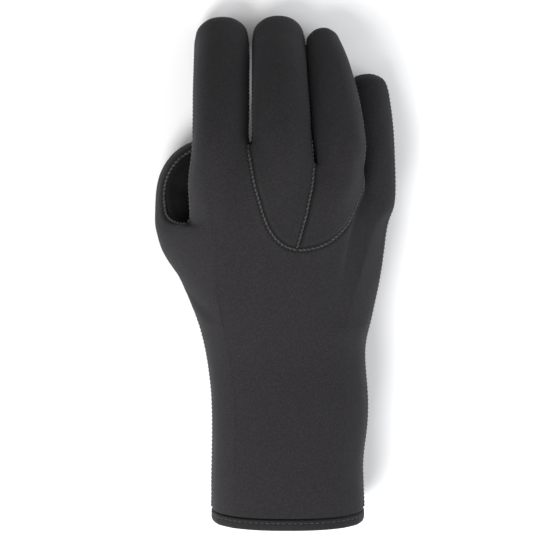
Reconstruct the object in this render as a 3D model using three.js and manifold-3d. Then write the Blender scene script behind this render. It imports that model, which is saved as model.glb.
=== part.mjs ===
// A right-hand diving glove of foamed rubber sheet, lying palm down by itself.
// Millimetres. X runs to the little finger's side, Y to the fingertips and Z up.
// The glove is hollow and open at the wrist. One smooth outer skin is built from rings:
// forty points round the hand and sixteen round each finger. Every panel is a set of
// that skin's faces, thickened inwards by the sheet's thickness.
import * as THREE from 'three';
import { mergeVertices } from 'three/addons/utils/BufferGeometryUtils.js';
import Module from 'manifold-3d';

// driving sizes
const gloveLength = 274.7;
const cuffLength = 109;
const cuffWidth = 83;
const cuffHeight = 50;
const palmWidth = 109;
const knuckleHeight = 64.5;
const indexWidth = 29.2;
const middleWidth = 31;
const ringWidth = 28.4;
const pinkyWidth = 25;
const thumbWidth = 30;
const sheetThickness = 3;
const seamGap = 0.3;
const hemWidth = 6.8;
const hemProud = 0.5;
const backBulge = 2.2;

// the hand between the wrist and the finger roots
const rootY = gloveLength * 0.721;
const palmLength = rootY - cuffLength;

// rows of the cuff: along (share of the cuff's length), left, right (shares of the
// cuff's width), top, low (shares of the cuff's height)
const cuffRows = [
  [0.000, -0.417, 0.588, 1.000, -0.025],
  [0.140, -0.419, 0.584, 1.004, -0.025],
  [0.275, -0.415, 0.580, 1.008, -0.025],
  [0.420, -0.412, 0.603, 1.006, -0.025],
  [0.560, -0.413, 0.611, 1.000, -0.025],
  [0.680, -0.422, 0.603, 0.992, -0.025],
  [0.800, -0.440, 0.590, 0.990, -0.015],
  [0.905, -0.464, 0.592, 1.006, 0.005],
  [1.000, -0.492, 0.616, 1.036, 0.030],
];

// rows of the palm: along (share of the palm's length), left, right (shares of the
// palm's width)
const palmRows = [
  [0.06, -0.392, 0.478],
  [0.20, -0.410, 0.496],
  [0.34, -0.412, 0.514],
  [0.48, -0.412, 0.528],
  [0.62, -0.414, 0.539],
  [0.76, -0.416, 0.550],
  [0.88, -0.416, 0.566],
  [1.00, -0.416, 0.578],
];

// the knuckle line over the top of the hand, from the little finger's side to the
// index finger's side, without its valleys: shares of the knuckle height
const knuckleTop = [0.57, 0.645, 0.78, 0.90, 0.955, 0.99, 0.975, 0.94, 0.87];
// the same line under the hand
const knuckleLow = [0.29, 0.25, 0.37, 0.485, 0.50, 0.515, 0.50, 0.50, 0.56];
// how far the finger roots reach, at the same nine places: shares of the palm's length
const rootReach = [0.755, 0.79, 0.862, 0.925, 1.000, 1.060, 1.112, 1.10, 1.060];

// fingers
// rows of each finger, root first: x (share of the palm's width), y (share of the glove's
// length), z (share of the knuckle height), half width, half height (shares of its width)
const indexRows = [
  [-0.266, 0.748, 0.713, 0.496, 0.488],
  [-0.262, 0.802, 0.655, 0.500, 0.472],
  [-0.262, 0.850, 0.545, 0.503, 0.460],
  [-0.262, 0.899, 0.405, 0.500, 0.445],
  [-0.262, 0.930, 0.290, 0.500, 0.436],
  [-0.264, 0.953, 0.190, 0.492, 0.425],
];
const middleRows = [
  [0.034, 0.745, 0.758, 0.492, 0.482],
  [0.031, 0.798, 0.705, 0.494, 0.464],
  [0.026, 0.850, 0.590, 0.478, 0.448],
  [0.022, 0.903, 0.430, 0.462, 0.430],
  [0.0205, 0.930, 0.300, 0.458, 0.415],
  [0.0185, 0.9525, 0.190, 0.452, 0.405],
];
const ringRows = [
  [0.3150, 0.710, 0.702, 0.462, 0.470],
  [0.3120, 0.756, 0.680, 0.478, 0.466],
  [0.2945, 0.809, 0.592, 0.486, 0.460],
  [0.277, 0.861, 0.475, 0.452, 0.446],
  [0.258, 0.910, 0.325, 0.388, 0.425],
  [0.240, 0.941, 0.205, 0.330, 0.395],
];
const pinkyRows = [
  [0.481, 0.677, 0.396, 0.485, 0.445],
  [0.478, 0.724, 0.345, 0.492, 0.445],
  [0.4745, 0.770, 0.280, 0.490, 0.445],
  [0.469, 0.808, 0.215, 0.478, 0.437],
  [0.462, 0.833, 0.170, 0.472, 0.430],
  [0.458, 0.848, 0.158, 0.465, 0.425],
];
// rows of the thumb, after its opening in the palm's side: x (share of the palm's width),
// y (share of the glove's length), z (share of the knuckle height), half width, half height
// (shares of its width), turn of its seams about its own line (degrees)
const thumbRows = [
  [-0.421, 0.556, 0.345, 0.500, 0.470, 78],
  [-0.452, 0.604, 0.280, 0.510, 0.440, 116],
  [-0.459, 0.645, 0.230, 0.512, 0.420, 130],
  [-0.430, 0.684, 0.200, 0.508, 0.408, 134],
  [-0.366, 0.708, 0.185, 0.490, 0.400, 134],
  [-0.292, 0.715, 0.180, 0.440, 0.395, 134],
];

// the seam round the inset over the middle and ring fingers' knuckles, from the index
// finger's crotch to the little finger's: x (share of the palm's width), y (share of the
// glove's length)
const insetSeam = [
  [-0.110, 0.722],
  [-0.095, 0.689],
  [-0.073, 0.658],
  [-0.051, 0.628],
  [-0.019, 0.598],
  [0.026, 0.577],
  [0.075, 0.566],
  [0.138, 0.563],
  [0.215, 0.569],
  [0.275, 0.580],
  [0.330, 0.598],
  [0.368, 0.617],
  [0.398, 0.646],
  [0.420, 0.664],
];
// the seam between its halves starts at this row of the round seam
const insetSplit = 8;
const middleSeam = [
  [0.1105, 0.5645],
  [0.134, 0.600],
  [0.153, 0.628],
  [0.167, 0.658],
  [0.183, 0.685],
];

// the skin: points and four-sided faces
// the rim of the hand's section has four steps down each side and sixteen over its top and
// under it, counted from the middle of the little finger's side
const handSideSteps = 4;
const handTopSteps = 16;
const columns = 2 * (handSideSteps + handTopSteps);
const topFirstColumn = handSideSteps / 2;
const topLastColumn = topFirstColumn + handTopSteps;
const lowFirstColumn = topLastColumn + handSideSteps;
const lowLastColumn = lowFirstColumn + handTopSteps;
const leftColumn = columns / 2;
const points = [];
const faces = [];

function addPoint(x, y, z) {
  points.push(new THREE.Vector3(x, y, Math.max(z, 0)));
  return points.length - 1;
}

// a face belongs to the back or the palm side, and to the hand, a finger or the thumb
function addFace(side, limb, a, b, c, d) {
  faces.push({ side, limb, corners: [d, c, b, a] });
}

// a column's place on the rim of a square two units wide, from the right side's
// middle round over the top: the sides have four steps and the top and bottom many
function squareRim(column, sideSteps, topSteps) {
  const halfCount = sideSteps / 2;
  const rimCount = 2 * sideSteps + 2 * topSteps;
  const c = ((column % rimCount) + rimCount) % rimCount;
  const leftTop = halfCount + topSteps;
  const leftLow = leftTop + sideSteps;
  if (c <= halfCount) return [1, c / halfCount];
  if (c <= leftTop) return [1 - 2 * (c - halfCount) / topSteps, 1];
  if (c <= leftLow) return [-1, 1 - (c - leftTop) / halfCount];
  if (c <= rimCount - halfCount) return [-1 + 2 * (c - leftLow) / topSteps, -1];
  return [1, (c - rimCount) / halfCount];
}

// the square's rim drawn in to a rounded section
function roundedRim([u, v], roundness) {
  const size = (Math.abs(u) ** roundness + Math.abs(v) ** roundness) ** (1 / roundness);
  return [u / size, v / size];
}

function mix(a, b, share) {
  return a + (b - a) * share;
}

// a value read from a list of evenly spaced numbers at a place from 0 to its end
function along(list, place) {
  const low = Math.min(Math.floor(place), list.length - 2);
  return mix(list[low], list[low + 1], place - low);
}

// a smooth curve through a table's rows, read at a place counted in rows
function smoothRow(rows, place) {
  const low = Math.min(Math.floor(place), rows.length - 2);
  const t = place - low;
  const at = (i) => rows[Math.min(Math.max(i, 0), rows.length - 1)];
  return rows[0].map((_, k) => {
    const [p, q, r, s] = [at(low - 1)[k], at(low)[k], at(low + 1)[k], at(low + 2)[k]];
    const slopeQ = (r - p) / 2;
    const slopeR = (s - q) / 2;
    const t2 = t * t;
    const t3 = t2 * t;
    return q * (2 * t3 - 3 * t2 + 1) + slopeQ * (t3 - 2 * t2 + t)
      + r * (3 * t2 - 2 * t3) + slopeR * (t3 - t2);
  });
}

// a column's place along the knuckle tables: 0 at the little finger's side, 8 at the index
function knucklePlace(column) {
  const lastPlace = knuckleTop.length - 1;
  if (column <= topFirstColumn || column >= lowLastColumn) return 0;
  if (column <= topLastColumn) return (column - topFirstColumn) / 2;
  if (column <= lowFirstColumn) return lastPlace;
  return lastPlace - (column - lowFirstColumn) / 2;
}

// a finger's rows turned from shares to millimetres
function fingerSizes(rows, width) {
  return rows.map(([x, y, z, halfWidth, halfHeight, turn = 0]) => ({
    centre: new THREE.Vector3(x * palmWidth, y * gloveLength, z * knuckleHeight),
    halfWidth: halfWidth * width,
    halfHeight: halfHeight * width,
    turn,
  }));
}

const fingerTables = [
  { name: 'pinky', rows: pinkyRows, width: pinkyWidth, tip: 2.3, rings: 6, start: 0.62 },
  { name: 'ring', rows: ringRows, width: ringWidth, tip: 2.0, rings: 8, start: 0.62 },
  { name: 'middle', rows: middleRows, width: middleWidth, tip: 2.6, rings: 7, start: 0.62 },
  { name: 'index', rows: indexRows, width: indexWidth, tip: 2.2, rings: 7, start: 0.62 },
];
const roots = fingerTables.map(({ rows, width }) => fingerSizes(rows, width)[0]);

// finger roots: the last ring of the hand
// outer columns belong to one finger, and every fourth top and bottom column
// between two fingers is the crotch that they share
function rootPoint(column) {
  const place = knucklePlace(column);
  const y = cuffLength + along(rootReach, place) * palmLength;
  const top = column >= topFirstColumn && column <= topLastColumn;
  const low = column >= lowFirstColumn && column <= lowLastColumn;
  const crotch = (top || low) && place > 0 && place < 8 && place % 2 === 0;
  if (crotch) {
    const right = roots[place / 2 - 1];
    const left = roots[place / 2];
    const acrossX = right.centre.x - left.centre.x;
    const acrossZ = right.centre.z - left.centre.z;
    const length = Math.hypot(acrossX, acrossZ);
    const lift = 0.28 * (right.halfHeight + left.halfHeight) * (top ? 1 : -1);
    const share = right.halfWidth / (right.halfWidth + left.halfWidth);
    const middle = right.centre.clone().lerp(left.centre, share);
    return new THREE.Vector3(middle.x - acrossZ / length * lift, y,
      middle.z + acrossX / length * lift);
  }
  const index = Math.min(Math.floor(place / 2), 3);
  const root = roots[index];
  const fromSide = column > lowLastColumn ? column - columns : column;
  let fingerColumn = fromSide < topLastColumn ? fromSide : fromSide - handTopSteps + 4;
  if (top) fingerColumn = 2 + 4 * (place / 2 - index);
  if (low) fingerColumn = 14 - 4 * (place / 2 - index);
  const [across, up] = roundedRim(squareRim(fingerColumn, 4, 4), 2.1);
  return new THREE.Vector3(root.centre.x + across * root.halfWidth, y,
    root.centre.z + up * root.halfHeight);
}

// the hand's own rings
const wristRow = cuffRows[cuffRows.length - 1];

function cuffSection(row, column) {
  const left = row[1] * cuffWidth;
  const right = row[2] * cuffWidth;
  const top = row[3] * cuffHeight;
  const low = row[4] * cuffHeight;
  const [across, up] = roundedRim(squareRim(column, handSideSteps, handTopSteps), 2.35);
  return [mix(left, right, (across + 1) / 2), mix(low, top, (up + 1) / 2)];
}

// between wrist and roots the section goes over from the wrist's to the roots': the
// height follows the smooth knuckle line, and the valleys grow in near the roots
function palmPoint(row, column) {
  const [share, left, right] = row;
  const root = rootPoint(column);
  const [wristX, wristZ] = cuffSection(wristRow, column);
  const wristLeft = wristRow[1] * cuffWidth;
  const wristRight = wristRow[2] * cuffWidth;
  const rootLeft = roots[3].centre.x - roots[3].halfWidth;
  const rootRight = roots[0].centre.x + roots[0].halfWidth;
  const acrossWrist = (wristX - wristLeft) / (wristRight - wristLeft);
  const acrossRoot = (root.x - rootLeft) / (rootRight - rootLeft);
  const across = mix(acrossWrist, acrossRoot, share ** 1.5);
  const edgeLeft = left * palmWidth;
  const edgeRight = right * palmWidth;
  const x = mix(edgeLeft, edgeRight, across);
  const place = knucklePlace(column);
  const top = along(knuckleTop, place) * knuckleHeight;
  const low = along(knuckleLow, place) * knuckleHeight;
  const onTop = column >= topFirstColumn && column <= topLastColumn;
  const under = column >= lowFirstColumn && column <= lowLastColumn;
  let smooth = root.z;
  if (onTop) smooth = top;
  if (under) smooth = low;
  const pastLeft = Math.min(Math.max((column - leftColumn) / 5, 0), 1);
  const rise = share ** (column <= leftColumn ? 1 : mix(0.8, 1.15, pastLeft));
  const valley = share ** 5;
  const z = mix(mix(wristZ, smooth, rise), root.z, valley);
  const bulge = onTop ? backBulge * Math.sin(Math.PI * share) : 0;
  const y = mix(cuffLength, root.y, share);
  return [x, y, z + bulge];
}

const rings = [];
for (const row of cuffRows) {
  const y = mix(hemWidth + seamGap / 2, cuffLength, row[0]);
  const ring = [];
  for (let c = 0; c < columns; c += 1) {
    const [x, z] = cuffSection(row, c);
    ring.push(addPoint(x, y, z));
  }
  rings.push(ring);
}
for (const row of palmRows) {
  const ring = [];
  for (let c = 0; c < columns; c += 1) {
    if (row[0] === 1) {
      const root = rootPoint(c);
      ring.push(addPoint(root.x, root.y, root.z));
    } else {
      ring.push(addPoint(...palmPoint(row, c)));
    }
  }
  rings.push(ring);
}

// the thumb's opening: four rows by four columns on the hand's left side
const wristRing = cuffRows.length - 1;
const openFrom = wristRing + 1;
const openTo = openFrom + 4;
for (let r = 0; r < rings.length - 1; r += 1) {
  for (let c = 0; c < columns; c += 1) {
    if (r >= openFrom && r < openTo && c >= topLastColumn && c < lowFirstColumn) continue;
    const d = (c + 1) % columns;
    addFace(c < leftColumn ? 'back' : 'palm', 'hand', rings[r][c], rings[r][d],
      rings[r + 1][d], rings[r + 1][c]);
  }
}

// tubes: rings of sixteen points along a finger, closed by a rounded tip
function tubeRing(place, rows, forward = 0, shrink = 1) {
  const row = rows(place);
  const before = rows(place - 0.05).centre;
  const after = rows(place + 0.05).centre;
  const heading = after.clone().sub(before).normalize();
  const side = new THREE.Vector3(heading.y, -heading.x, 0).normalize();
  const up = side.clone().cross(heading);
  const centre = row.centre.clone().addScaledVector(heading, forward);
  return { centre, side, up, heading, row, shrink };
}

function ringPoint(ring, u, v, scale = 1) {
  const turn = ring.row.turn * Math.PI / 180;
  const angle = Math.atan2(v, u) + turn;
  const [across, high] = roundedRim([Math.cos(angle), Math.sin(angle)], 2.15);
  const size = ring.shrink * scale;
  return ring.centre.clone()
    .addScaledVector(ring.side, across * ring.row.halfWidth * size)
    .addScaledVector(ring.up, high * ring.row.halfHeight * size);
}

function joinRings(limb, before, after) {
  for (let c = 0; c < 16; c += 1) {
    const d = (c + 1) % 16;
    addFace(c < 8 ? 'back' : 'palm', limb, before[c], before[d], after[d], after[c]);
  }
}

// the tip is a dome: two shrinking rings, then a grid of four by four faces
function addTip(limb, lastRing, place, rows, bluntness) {
  const base = tubeRing(place, rows);
  const reach = (base.row.halfWidth + base.row.halfHeight) / 2;
  const dome = (degrees) => {
    const angle = degrees * Math.PI / 180;
    return [
      Math.sin(angle) ** (2 / bluntness) * reach,
      Math.cos(angle) ** (2 / bluntness),
    ];
  };
  let ring = lastRing;
  for (const degrees of [24, 46]) {
    const [forward, shrink] = dome(degrees);
    const section = tubeRing(place, rows, forward, shrink);
    const next = [];
    for (let c = 0; c < 16; c += 1) {
      const p = ringPoint(section, ...squareRim(c, 4, 4));
      next.push(addPoint(p.x, p.y, p.z));
    }
    joinRings(limb, ring, next);
    ring = next;
  }
  const grid = new Map();
  for (let c = 0; c < 16; c += 1) {
    const [u, v] = squareRim(c, 4, 4);
    grid.set(`${u * 2},${v * 2}`, ring[c]);
  }
  for (const v of [-1, 0, 1]) {
    for (const u of [-1, 0, 1]) {
      const middle = u === 0 && v === 0;
      const [forward, shrink] = dome(middle ? 90 : 69);
      const section = tubeRing(place, rows, forward, middle ? 0 : shrink);
      const p = middle ? section.centre : ringPoint(section, u, v);
      grid.set(`${u},${v}`, addPoint(p.x, p.y, p.z));
    }
  }
  for (let v = -2; v < 2; v += 1) {
    for (let u = -2; u < 2; u += 1) {
      addFace(v >= 0 ? 'back' : 'palm', limb, grid.get(`${u},${v}`), grid.get(`${u + 1},${v}`),
        grid.get(`${u + 1},${v + 1}`), grid.get(`${u},${v + 1}`));
    }
  }
}

function smoothSizes(rows, width) {
  return (place) => {
    const inside = Math.min(Math.max(place, 0), rows.length - 1);
    const row = smoothRow(rows, inside);
    const [size] = fingerSizes([row], width);
    if (place > inside || place < inside) {
      const near = smoothRow(rows, inside + (place > inside ? -0.05 : 0.05));
      const [nearSize] = fingerSizes([near], width);
      const step = size.centre.clone().sub(nearSize.centre);
      size.centre.addScaledVector(step, Math.abs(place - inside) / 0.05);
    }
    return size;
  };
}

// the points that finger and hand share at a root, in the finger's own order
const lastHandRing = rings[rings.length - 1];
const webs = [];
for (let i = 0; i < 3; i += 1) {
  const top = points[lastHandRing[6 + 4 * i]];
  const low = points[lastHandRing[34 - 4 * i]];
  const web = [];
  for (const share of [0.25, 0.5, 0.75]) {
    const p = top.clone().lerp(low, share);
    web.push(addPoint(p.x, p.y + 0.9 * Math.sin(Math.PI * share), p.z));
  }
  webs.push(web);
}

function rootRing(i) {
  const ring = [];
  for (let c = 2; c <= 6; c += 1) ring[c] = lastHandRing[c + 4 * i];
  for (let c = 10; c <= 14; c += 1) ring[c] = lastHandRing[c + 24 - 4 * i];
  const rightSide = i === 0 ? [lastHandRing[1], lastHandRing[0], lastHandRing[39]] : webs[i - 1];
  const leftSide = i === 3 ? [19, 20, 21].map((c) => lastHandRing[c]) : webs[i];
  [ring[1], ring[0], ring[15]] = rightSide;
  [ring[7], ring[8], ring[9]] = leftSide;
  return ring;
}

fingerTables.forEach(({ name, rows, width, tip, rings: count, start }, i) => {
  const sizes = smoothSizes(rows, width);
  let ring = rootRing(i);
  const last = rows.length - 1;
  for (let k = 1; k <= count; k += 1) {
    const place = mix(start, last, (k - 1) / (count - 1));
    const section = tubeRing(place, sizes);
    const next = [];
    for (let c = 0; c < 16; c += 1) {
      const p = ringPoint(section, ...squareRim(c, 4, 4));
      next.push(addPoint(p.x, p.y, p.z));
    }
    joinRings(name, ring, next);
    ring = next;
  }
  addTip(name, ring, last, sizes, tip);
});

// the thumb starts at its opening's edge, which goes over to its first own section
const opening = [];
opening[0] = rings[openTo][leftColumn];
opening[15] = rings[openTo][leftColumn + 1];
opening[1] = rings[openTo][leftColumn - 1];
for (let k = 0; k < 5; k += 1) {
  opening[2 + k] = rings[openTo - k][topLastColumn];
  opening[10 + k] = rings[openFrom + k][lowFirstColumn];
}
for (let k = 1; k < 4; k += 1) opening[6 + k] = rings[openFrom][topLastColumn + k];

const thumbSwell = thumbWidth * 0.16;
// the skin between thumb and hand is filled out, so that the back runs on smoothly from one
// to the other: how far the thumb's first rings move there (shares of the thumb's width),
// and each column's part in that, counted from the web between them
const webFill = [
  [-0.06, 0.08, 0.08],
  [-0.16, 0.18, 0.09],
  [-0.27, 0.29, 0.03],
  [-0.12, 0.12, 0.00],
];
const webShares = [1, 0.8, 0.55, 0.3, 0.1, 0, 0, 0, 0, 0, 0, 0, 0, 0, 0.25, 0.6];

function fillWeb(p, ring, column) {
  if (ring >= webFill.length) return p;
  const fill = new THREE.Vector3(...webFill[ring]);
  return p.addScaledVector(fill, webShares[column] * thumbWidth);
}

const thumbSizes = smoothSizes(thumbRows, thumbWidth);
const thumbLast = thumbRows.length - 1;
const thumbFirst = tubeRing(0, thumbSizes);
const goalRing = [];
for (let c = 0; c < 16; c += 1) goalRing.push(ringPoint(thumbFirst, ...squareRim(c, 4, 4)));
let thumbRing = opening;
[0.34, 0.68].forEach((share, k) => {
  const next = opening.map((id, c) => {
    const p = points[id].clone().lerp(goalRing[c], share);
    const outwards = Math.max(Math.sin((c - 1) * Math.PI / 8), 0);
    p.x -= thumbSwell * Math.sin(Math.PI * share) * outwards;
    fillWeb(p, k, c);
    return addPoint(p.x, p.y, p.z);
  });
  joinRings('thumb', thumbRing, next);
  thumbRing = next;
});
const thumbCount = 8;
for (let k = 0; k < thumbCount; k += 1) {
  const section = tubeRing(thumbLast * k / (thumbCount - 1), thumbSizes);
  const next = [];
  for (let c = 0; c < 16; c += 1) {
    const p = fillWeb(ringPoint(section, ...squareRim(c, 4, 4)), k + 2, c);
    next.push(addPoint(p.x, p.y, p.z));
  }
  joinRings('thumb', thumbRing, next);
  thumbRing = next;
}
addTip('thumb', thumbRing, thumbLast, thumbSizes, 2.0);

// the skin is eased a little where finger, thumb and hand meet
const neighbours = points.map(() => new Set());
for (const { corners } of faces) {
  corners.forEach((id, k) => {
    neighbours[id].add(corners[(k + 1) % 4]);
    neighbours[corners[(k + 1) % 4]].add(id);
  });
}
const eased = new Set([...opening, ...webs.flat(), ...lastHandRing]);
for (let pass = 0; pass < 2; pass += 1) {
  for (const id of [...eased]) for (const near of neighbours[id]) eased.add(near);
}
const ends = new Set(rings[0]);
for (const amount of [0.33, -0.34, 0.33, -0.34]) {
  const moved = new Map();
  for (const id of eased) {
    if (ends.has(id)) continue;
    const mean = new THREE.Vector3();
    for (const near of neighbours[id]) mean.add(points[near]);
    mean.divideScalar(neighbours[id].size);
    moved.set(id, points[id].clone().lerp(mean, amount));
  }
  for (const [id, p] of moved) points[id].set(p.x, p.y, Math.max(p.z, 0));
}

// panels
const normals = points.map(() => new THREE.Vector3());
for (const { corners } of faces) {
  const [a, b, c, d] = corners.map((id) => points[id]);
  const normal = c.clone().sub(a).cross(d.clone().sub(b)).normalize();
  for (const id of corners) normals[id].add(normal);
}
for (const normal of normals) normal.normalize();
for (let pass = 0; pass < 2; pass += 1) {
  const turned = normals.map((normal, id) => {
    const mean = normal.clone();
    if (eased.has(id)) for (const near of neighbours[id]) mean.addScaledVector(normals[near], 0.35);
    return mean.normalize();
  });
  turned.forEach((normal, id) => normals[id].copy(normal));
}

function edgeName(a, b) {
  return a < b ? `${a},${b}` : `${b},${a}`;
}

function edgeCounts(list) {
  const counts = new Map();
  for (const { corners } of list) {
    corners.forEach((id, k) => {
      const name = edgeName(id, corners[(k + 1) % 4]);
      counts.set(name, (counts.get(name) || 0) + 1);
    });
  }
  return counts;
}

// how far an edge's point moves so that each edge that ends there moves half the gap
function cornerDraw(directions) {
  const sum = new THREE.Vector3();
  for (const direction of directions) sum.add(direction);
  const spread = Math.max(sum.lengthSq() / directions.length, 0.9);
  return sum.multiplyScalar(seamGap / 2 / spread);
}

// the draw of every point on a panel's edges, on the outer or the inner skin
function edgeDraws(panel, skin) {
  const counts = edgeCounts(panel);
  const directions = new Map();
  for (const { corners } of panel) {
    corners.forEach((id, k) => {
      const next = corners[(k + 1) % 4];
      if (counts.get(edgeName(id, next)) !== 1) return;
      const edge = skin[next].clone().sub(skin[id]);
      for (const end of [id, next]) {
        if (!directions.has(end)) directions.set(end, []);
        directions.get(end).push(normals[end].clone().cross(edge).normalize());
      }
    });
  }
  const draws = new Map();
  for (const [id, list] of directions) draws.set(id, cornerDraw(list));
  return draws;
}

const innerPoints = points.map((p, id) => p.clone().addScaledVector(normals[id], -sheetThickness));

// some of a panel's faces as a closed solid: the outer faces, the same faces moved inwards
// by the sheet's thickness, and a strip round their edges; where the panel itself ends,
// the edge draws back by half the seam gap
function panelSolid(panel, chosen) {
  const chosenEdges = edgeCounts(chosen);
  const outer = new Map();
  const inner = new Map();
  const positions = [];
  const triangles = [];
  for (const [skin, order] of [[points, outer], [innerPoints, inner]]) {
    const draws = edgeDraws(panel, skin);
    for (const { corners } of chosen) {
      for (const id of corners) {
        if (order.has(id)) continue;
        const p = skin[id].clone();
        if (draws.has(id)) p.add(draws.get(id));
        p.z = Math.max(p.z, 0);
        order.set(id, positions.length / 3);
        positions.push(p.x, p.y, p.z);
      }
    }
  }
  const split = (a, b, c, d) => triangles.push(a, b, c, a, c, d);
  for (const { corners } of chosen) {
    const [a, b, c, d] = corners;
    split(outer.get(a), outer.get(b), outer.get(c), outer.get(d));
    split(inner.get(a), inner.get(d), inner.get(c), inner.get(b));
    corners.forEach((id, k) => {
      const next = corners[(k + 1) % 4];
      if (chosenEdges.get(edgeName(id, next)) !== 1) return;
      const strip = [outer.get(next), outer.get(id), inner.get(id), inner.get(next)];
      if (id > next) strip.push(strip.shift());
      split(...strip);
    });
  }
  return { positions: new Float32Array(positions), triangles: new Uint32Array(triangles) };
}

const wasm = await Module();
wasm.setup();

function toSolid({ positions, triangles }) {
  return new wasm.Manifold(new wasm.Mesh({
    numProp: 3, vertProperties: positions, triVerts: triangles,
  }));
}

// a flat outline pushed straight up through the glove, as a cutting block
function cuttingBlock(outline) {
  const shape = new THREE.Shape(outline.map(([x, y]) => new THREE.Vector2(x, y)));
  const height = knuckleHeight * 2;
  const block = new THREE.ExtrudeGeometry(shape, { depth: height, bevelEnabled: false });
  block.translate(0, 0, -knuckleHeight / 2);
  block.deleteAttribute('normal');
  block.deleteAttribute('uv');
  const merged = mergeVertices(block, 1e-4);
  return toSolid({
    positions: new Float32Array(merged.attributes.position.array),
    triangles: new Uint32Array(merged.index.array),
  });
}

// a line in plan moved sideways, to its left where the distance is above zero
function moveAside(line, distance) {
  return line.map(([x, y], i) => {
    const [ax, ay] = line[Math.max(i - 1, 0)];
    const [bx, by] = line[Math.min(i + 1, line.length - 1)];
    const length = Math.hypot(bx - ax, by - ay);
    return [x - (by - ay) / length * distance, y + (bx - ax) / length * distance];
  });
}

// the inset over the middle and ring fingers' knuckles
// the curved seam round it and the straight one down its middle end at the crotches
const crotches = [6, 10, 14].map((c) => points[lastHandRing[c]]);
const [pinkyCrotch, middleCrotch, indexCrotch] = crotches;
const inPlan = ([x, y]) => [x * palmWidth, y * gloveLength];
const roundSeam = [
  [indexCrotch.x, indexCrotch.y],
  ...insetSeam.map(inPlan),
  [pinkyCrotch.x, pinkyCrotch.y],
];
const straightSeam = [
  ...middleSeam.map(inPlan),
  [middleCrotch.x, middleCrotch.y],
];
const far = gloveLength * 1.2;
const wide = palmWidth * 2;
const beyond = palmWidth * 0.05;

// the round seam with its ends run on past the crotches, so that it closes over the hand
function insetOutline(distance) {
  const line = moveAside(roundSeam, distance);
  return [
    [line[0][0], indexCrotch.y + beyond],
    ...line,
    [wide, line[line.length - 1][1]],
    [wide, indexCrotch.y + beyond],
  ];
}

// each block holds one side of the straight seam and everything towards the fingertips
const openSeam = moveAside(roundSeam, seamGap / 2);
const seamEnd = openSeam.length - 1;
const middleBlock = cuttingBlock([
  [openSeam[0][0], far],
  ...openSeam.slice(0, insetSplit),
  ...moveAside(straightSeam, seamGap / 2),
  [wide, middleCrotch.y + beyond],
  [wide, far],
]);
const ringBlock = cuttingBlock([
  ...openSeam.slice(insetSplit),
  [wide, openSeam[seamEnd][1]],
  [wide, far],
  [0, far],
  [0, indexCrotch.y + beyond],
  ...moveAside([...straightSeam, [middleCrotch.x, indexCrotch.y + beyond]], -seamGap / 2)
    .reverse(),
]);
const insetBlock = cuttingBlock(insetOutline(-seamGap / 2));

// a back panel: its share of the hand's back, cut to shape, with its fingers joined on
function backPanel(limbs, shapeHand) {
  const panel = faces.filter((f) => f.side === 'back' && ['hand', ...limbs].includes(f.limb));
  const hand = toSolid(panelSolid(panel, panel.filter((f) => f.limb === 'hand')));
  const fingers = toSolid(panelSolid(panel, panel.filter((f) => f.limb !== 'hand')));
  return fromSolid(shapeHand(hand).add(fingers));
}

// the largest piece of a solid, as points and triangles
function fromSolid(solid) {
  const [largest] = solid.decompose().sort((a, b) => b.volume() - a.volume());
  const mesh = largest.getMesh();
  return { positions: mesh.vertProperties, triangles: mesh.triVerts };
}

const backShape = backPanel(['pinky', 'index', 'thumb'], (hand) => hand.subtract(insetBlock));
const middleShape = backPanel(['middle'], (hand) => hand.intersect(middleBlock));
const ringShape = backPanel(['ring'], (hand) => hand.intersect(ringBlock));
const palmFaces = faces.filter((f) => f.side === 'palm');
const palmShape = panelSolid(palmFaces, palmFaces);

// the hem: a folded band round the cuff's end
// rows across the band: along (share of the hem's width), proud (share of how far it
// stands out), then back along its inside
const hemRows = [
  [0.12, 0.3, false],
  [0.35, 1.0, false],
  [0.85, 1.0, false],
  [1.00, 0.5, false],
  [1.00, 0, true],
  [0.00, 0, true],
  [0.00, -0.9, false],
];

function hemSolid() {
  const positions = [];
  const triangles = [];
  const sides = [];
  for (let c = 0; c < columns; c += 1) {
    const [x, z] = cuffSection(cuffRows[0], c);
    const [ax, az] = cuffSection(cuffRows[0], (c + columns - 1) % columns);
    const [bx, bz] = cuffSection(cuffRows[0], (c + 1) % columns);
    const length = Math.hypot(bx - ax, bz - az);
    sides.push([x, z, (bz - az) / length, -(bx - ax) / length]);
  }
  for (const [share, proud, inside] of hemRows) {
    for (const [x, z, outX, outZ] of sides) {
      const out = inside ? -sheetThickness : proud * hemProud;
      const height = Math.max(z + out * outZ, inside ? sheetThickness : 0);
      positions.push(x + out * outX, share * hemWidth, height);
    }
  }
  for (let r = 0; r < hemRows.length; r += 1) {
    const s = (r + 1) % hemRows.length;
    for (let c = 0; c < columns; c += 1) {
      const d = (c + 1) % columns;
      const [a, b] = [r * columns + c, r * columns + d];
      const [e, f] = [s * columns + c, s * columns + d];
      triangles.push(a, e, b, b, e, f);
    }
  }
  return { positions: new Float32Array(positions), triangles: new Uint32Array(triangles) };
}

// the glove, with its origin under the middle of its bounding box
function toMesh(name, { positions, triangles }, colour) {
  const geometry = new THREE.BufferGeometry();
  geometry.setAttribute('position', new THREE.BufferAttribute(positions, 3));
  geometry.setIndex(new THREE.BufferAttribute(triangles, 1));
  const material = new THREE.MeshStandardMaterial({ color: colour, roughness: 0.9, metalness: 0 });
  const mesh = new THREE.Mesh(geometry, material);
  mesh.name = name;
  return mesh;
}

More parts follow.
